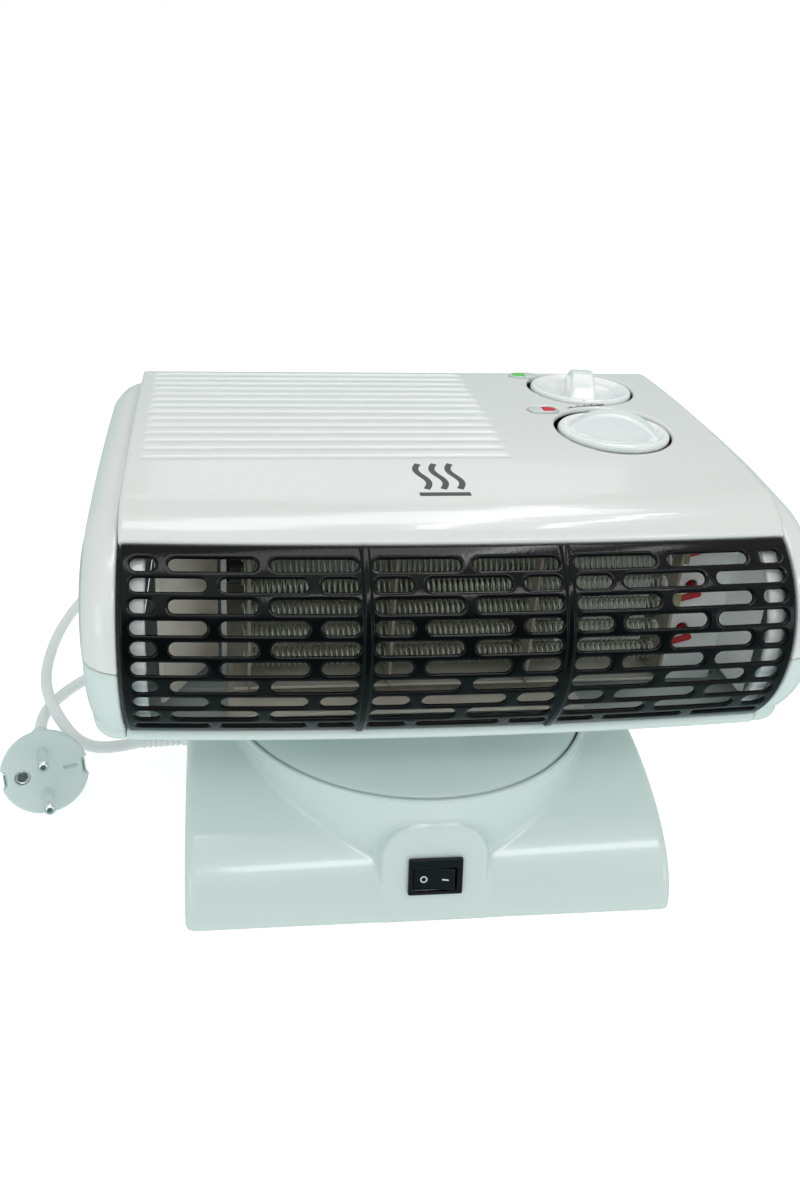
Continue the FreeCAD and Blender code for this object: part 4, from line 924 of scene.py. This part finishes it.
def base_field(x, y, z):
    """Loaf, round tower and switch boss, hollow under a deck, with the openings for hub, leads and switch."""
    r = np.hypot(x, y)
    body = smooth_max(loaf(y, z), np.abs(x) - BASE_X, 4.0)
    wall = r - TOWER_R - 0.04 * np.clip(TOWER_Z - z, 0, 40)
    tower = smooth_max(wall, z - TOWER_Z, 1.0)
    d = smooth_min(body, tower, 2.0)
    up, depth = boss_axes(y, z)
    spread = np.clip(depth, 0, 30)
    boss = rounded(np.abs(x) - BOSS_HALF + 1.2 - 0.25 * spread, up - BOSS_H + 1.0 - 0.12 * spread,
                   BOSS_CORNER)
    boss = smooth_max(smooth_max(boss, -depth, 1.6), depth - 24, 1)
    d = smooth_min(d, boss, 1.6)
    lip = np.hypot(r - TOWER_R + 0.6, z - TOWER_Z + 0.5) - 1.0
    d = smooth_min(d, lip, 0.8)
    d = smooth_max(d, BASE_Z0 - z, 0.8)
    hollow = np.maximum(loaf(y, z, WALL), np.abs(x) - BASE_X + WALL)
    hollow = np.minimum(hollow, np.maximum(np.maximum(boss, -depth) + WALL, z - 38))
    hollow = np.maximum(hollow, np.where(r < 81, z - 38.6, -99.0))
    hollow = np.minimum(hollow, np.maximum(r - 77, z - 38.6))
    d = cut(d, hollow, 0.3)
    d = cut(d, np.maximum(r - 78.3, 41 - z), 0.7)
    d = cut(d, r - 17, 0.3)
    d = cut(d, np.hypot(x, y - 36) - 5 + np.where(z > 30, 0, 99), 0.3)
    opening = np.maximum(np.maximum(np.abs(x) - 9.7, np.abs(up - SWITCH_UP) - 6.7), depth - 14)
    return cut(d, opening, 0.3)


def base_shell():
    moulded("base_shell", base_field, (-95, -92, 1), (95, 92, 51), 0.85, "base", WHITE_PAINTED_SHADE,
            ("base_housing",))


def from_switch(points):
    """Out of the switch's own axes: x across, y out of the boss's face, z up the face."""
    x, out, up = points.T
    up = up + SWITCH_UP
    y = -BASE_Y + 0.1 + up * math.sin(BOSS_TILT) - out * math.cos(BOSS_TILT)
    return np.stack([x, y, up * math.cos(BOSS_TILT) + out * math.sin(BOSS_TILT)], 1)


def swing_switch():
    """Snap-in rocker switch: bezel with its box behind, the rocker, and the on and off signs on it."""
    def bezel(x, y, z):
        plate = block(x, y, z, (0, 0.9, 0), (10.5, 0.9, 7.5), 0.6)
        inner = block(x, y, z, (-0.3, 1.2, -1.3), (8.5, 9, 5.0), 0.4)
        box = block(x, y, z, (0, -6, 0), (9.5, 6.2, 6.4), 0.5)
        lip = np.minimum(plate, box)
        return cut(lip, np.maximum(inner, -y - 8), 0.35)
    housing = moulded("switch_bezel", bezel, (-10.8, -12.5, -7.8), (10.8, 2.2, 7.8), 0.3, "base",
                      BLACK_SATIN, ("switch_housing",), from_switch)
    tilt = math.radians(-6.5)

    def tipped(x, y):
        """Place across the rocker, height from its pivot, and the height of its face there."""
        across = x * math.cos(tilt) - (y + 1.5) * math.sin(tilt)
        height = x * math.sin(tilt) + (y + 1.5) * math.cos(tilt)
        return across, height, 2.2 + 0.12 * np.abs(across)

    def rocker(x, y, z):
        across, height, face = tipped(x, y)
        d = np.maximum(np.abs(across + 0.3) - 7.9, np.abs(z + 1.3) - 4.5)
        return smooth_max(smooth_max(d, height - face, 0.5), -height - 4, 0.5)
    paddle = moulded("switch_paddle", rocker, (-9, -7, -6), (9, 4, 5), 0.3, "rocker", BLACK_SATIN,
                     ("switch_rocker",), from_switch)

    def marks(x, y, z):
        across, height, face = tipped(x, y)
        ring = np.abs(np.hypot(across + 4.2, z + 1.3) - 1.15) - 0.28
        dash = block(across, z, 0, (4.0, -1.3, 0), (1.3, 0.3, 1), 0.2)
        return np.maximum(np.minimum(ring, dash), np.abs(height - face) - 0.12)
    signs = moulded("switch_marks", marks, (-7, 0, -3), (7, 4, 2), 0.15, "rocker", PALE_INK, (),
                    from_switch)
    for made in (housing, paddle, signs):
        made.data.flip_normals()     # from_switch mirrors them


# ---- inside ----
COIL_R, COIL_ROWS = 3.6, 5


def helix(name, z):
    """One resistance-wire coil, close wound along X."""
    low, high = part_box("heating_coils")
    x0, x1 = (low.x - ORIGIN.x) / MM, (high.x - ORIGIN.x) / MM
    y = (low.y + high.y) / 2 / MM - ORIGIN.y / MM
    wire, pitch, per_turn, ring = 0.42, 1.9, 10, 5
    r = COIL_R - wire
    count = int((x1 - x0 - 2 * wire) / pitch * per_turn)
    verts = []
    for i in range(count + 1):
        angle = 2 * math.pi * i / per_turn
        x = x0 + wire + pitch * i / per_turn
        for j in range(ring):
            b = 2 * math.pi * j / ring
            rr = r + wire * math.cos(b)
            verts.append((x + wire * math.sin(b), y + rr * math.cos(angle), z + rr * math.sin(angle)))
    piece(name, verts, tube(0, count + 1, ring), "head", WIRE, ("heating_coils",))


def coils():
    """The rows of wire, evenly spaced over the CAD node's height."""
    low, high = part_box("heating_coils")
    first, last = low.z / MM + COIL_R, high.z / MM - COIL_R
    for i in range(COIL_ROWS):
        helix("heating_coil_%d" % (i + 1), first + (last - first) * i / (COIL_ROWS - 1))


def finishes():
    """Materials for the CAD nodes that stay as they are."""
    table = {
        WHITE_INNER_PAINTED_LIGHT: ("left_partition", "right_partition", "right_cheek", "base_plate", "terminal_block",
                      "swivel_bush", "swivel_leads"),
        DUCT_PAINTED_LIGHT: ("scroll_plate", "duct_floor", "tongue_plate", "left_cheek"),
        ZINC: ("heater_rails", "fan_motor_brackets", "swing_motor"),
        STEEL: ("shell_screws", "base_screws", "turntable_screws", "impeller_shaft",
                "thermostat_spindle", "selector_spindle", "hub_retainer"),
        IRON: ("fan_motor_stator", "fan_motor_rotor"),
        COPPER: ("fan_motor_winding",),
        MICA: ("mica_cards",),
        BRASS: ("heater_terminals", "shaft_bush"),
        BLACK_SATIN: ("thermal_cutout", "thermostat_body", "selector_body", "swing_crank"),
        ALLOY: ("impeller",),
        RED_SLEEVE: ("red_leads",),
        RUBBER: ("rubber_feet",),
    }
    for material, names in table.items():
        for name in names:
            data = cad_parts[name].data
            data.materials.clear()
            data.materials.append(material)


# ---- stage ----
def sky(tree):
    """A white studio: neutral light from above, cooler from the sides, and little from straight ahead."""
    link = tree.links.new
    back = tree.nodes["Background"]
    where = tree.nodes.new("ShaderNodeTexCoord")
    height = tree.nodes.new("ShaderNodeSeparateXYZ")
    link(where.outputs["Generated"], height.inputs["Vector"])
    around = stops(tree, height.outputs["Z"], (0.05, (0.52, 0.74, 0.73)), (0.80, (0.98, 0.97, 0.955)))
    ahead = tree.nodes.new("ShaderNodeVectorMath")
    ahead.operation = "DOT_PRODUCT"
    ahead.inputs[1].default_value = (0.06, -1.0, -0.02)
    link(where.outputs["Generated"], ahead.inputs[0])
    dim = stops(tree, ahead.outputs["Value"], (0.76, (1, 1, 1)), (0.95, (0.16, 0.18, 0.18)))
    shaded = tree.nodes.new("ShaderNodeMix")
    shaded.data_type = "RGBA"
    shaded.blend_type = "MULTIPLY"
    shaded.inputs["Factor"].default_value = 1.0
    link(around, shaded.inputs["A"])
    link(dim, shaded.inputs["B"])
    link(shaded.outputs["Result"], back.inputs["Color"])
    back.inputs["Strength"].default_value = 0.78
    plain = tree.nodes.new("ShaderNodeBackground")
    plain.inputs["Color"].default_value = (1, 1, 1, 1)
    ray = tree.nodes.new("ShaderNodeLightPath")
    mix = tree.nodes.new("ShaderNodeMixShader")
    link(ray.outputs["Is Camera Ray"], mix.inputs["Fac"])
    link(back.outputs["Background"], mix.inputs[1])
    link(plain.outputs["Background"], mix.inputs[2])
    link(mix.outputs["Shader"], tree.nodes["World Output"].inputs["Surface"])


def stops(tree, source, first, last):
    """A smooth change between two colours, each given with its place."""
    ramp = tree.nodes.new("ShaderNodeValToRGB")
    ramp.color_ramp.interpolation = "EASE"
    tree.links.new(source, ramp.inputs["Fac"])
    for stop, (at, colour) in zip(ramp.color_ramp.elements, (first, last)):
        stop.position = at
        stop.color = (*colour, 1)
    return ramp.outputs["Color"]


def panel_light(name, at, aim, size, power, colour=(1, 1, 1), only_gloss=False):
    """A soft panel light at one place, in metres, turned to another; it may serve for highlights only."""
    light = bpy.data.lights.new(name, "AREA")
    light.shape = "RECTANGLE"
    light.size, light.size_y = size
    light.energy = power
    light.color = colour
    made = in_scene(name, light)
    made.location = at
    made.rotation_euler = (Vector(aim) - Vector(at)).to_track_quat("-Z", "Y").to_euler()
    made.visible_diffuse = not only_gloss


def stage():
    """Plain white floor, white surroundings and soft lights."""
    bpy.ops.mesh.primitive_plane_add(size=12, location=(0, 0, 0))
    floor = bpy.context.object
    floor.name = "floor"
    paper = bpy.data.materials.new("floor")
    paper.use_nodes = True
    bsdf = paper.node_tree.nodes["Principled BSDF"]
    bsdf.inputs["Base Color"].default_value = (0.60, 0.60, 0.60, 1)
    bsdf.inputs["Roughness"].default_value = 0.9
    bsdf.inputs["Emission Color"].default_value = (1, 1, 1, 1)
    bsdf.inputs["Emission Strength"].default_value = 0.62
    floor.data.materials.append(paper)
    floor.visible_glossy = False
    world = bpy.data.worlds.new("world")
    world.use_nodes = True
    sky(world.node_tree)
    bpy.context.scene.world = world
    bpy.context.scene.view_settings.view_transform = "Standard"
    heart = (0, 0, 0.12)
    panel_light("key", (-0.5, -1.1, 1.5), heart, (1.6, 1.6), 2.6, (0.86, 1.0, 0.99))
    panel_light("left_fill", (-1.0, -0.95, 0.42), heart, (0.6, 0.5), 1.5, (0.88, 1.0, 0.99))
    panel_light("right_fill", (1.05, -1.05, 0.35), heart, (0.5, 0.4), 1.2, (0.92, 1.0, 0.99))
    panel_light("front_tube", (0.36, -1.0, 1.10), heart, (0.95, 0.13), 2.8)
    panel_light("side_tube", (0.72, -0.34, 1.65), heart, (0.6, 0.05), 1.2)
    panel_light("edge_tube", (0.45, -0.15, 1.65), heart, (0.9, 0.06), 2.5, only_gloss=True)
    panel_light("ceiling", (0.15, -0.20, 1.72), heart, (1.4, 0.40), 6.5, only_gloss=True)
    panel_light("rear", (0.2, 1.0, 1.4), heart, (1.0, 1.0), 2.5)


shells()
caps()
grille()
dial("thermostat_dial", THERMOSTAT, THERMOSTAT_TURN, "thermostat_dial", "thermostat_knob")
dial("selector_dial", SELECTOR, SELECTOR_TURN, "selector_dial", "selector_knob")
lamps()
heat_sign()
scale_signs()
turntable()
base_shell()
swing_switch()
coils()
finishes()
stage()
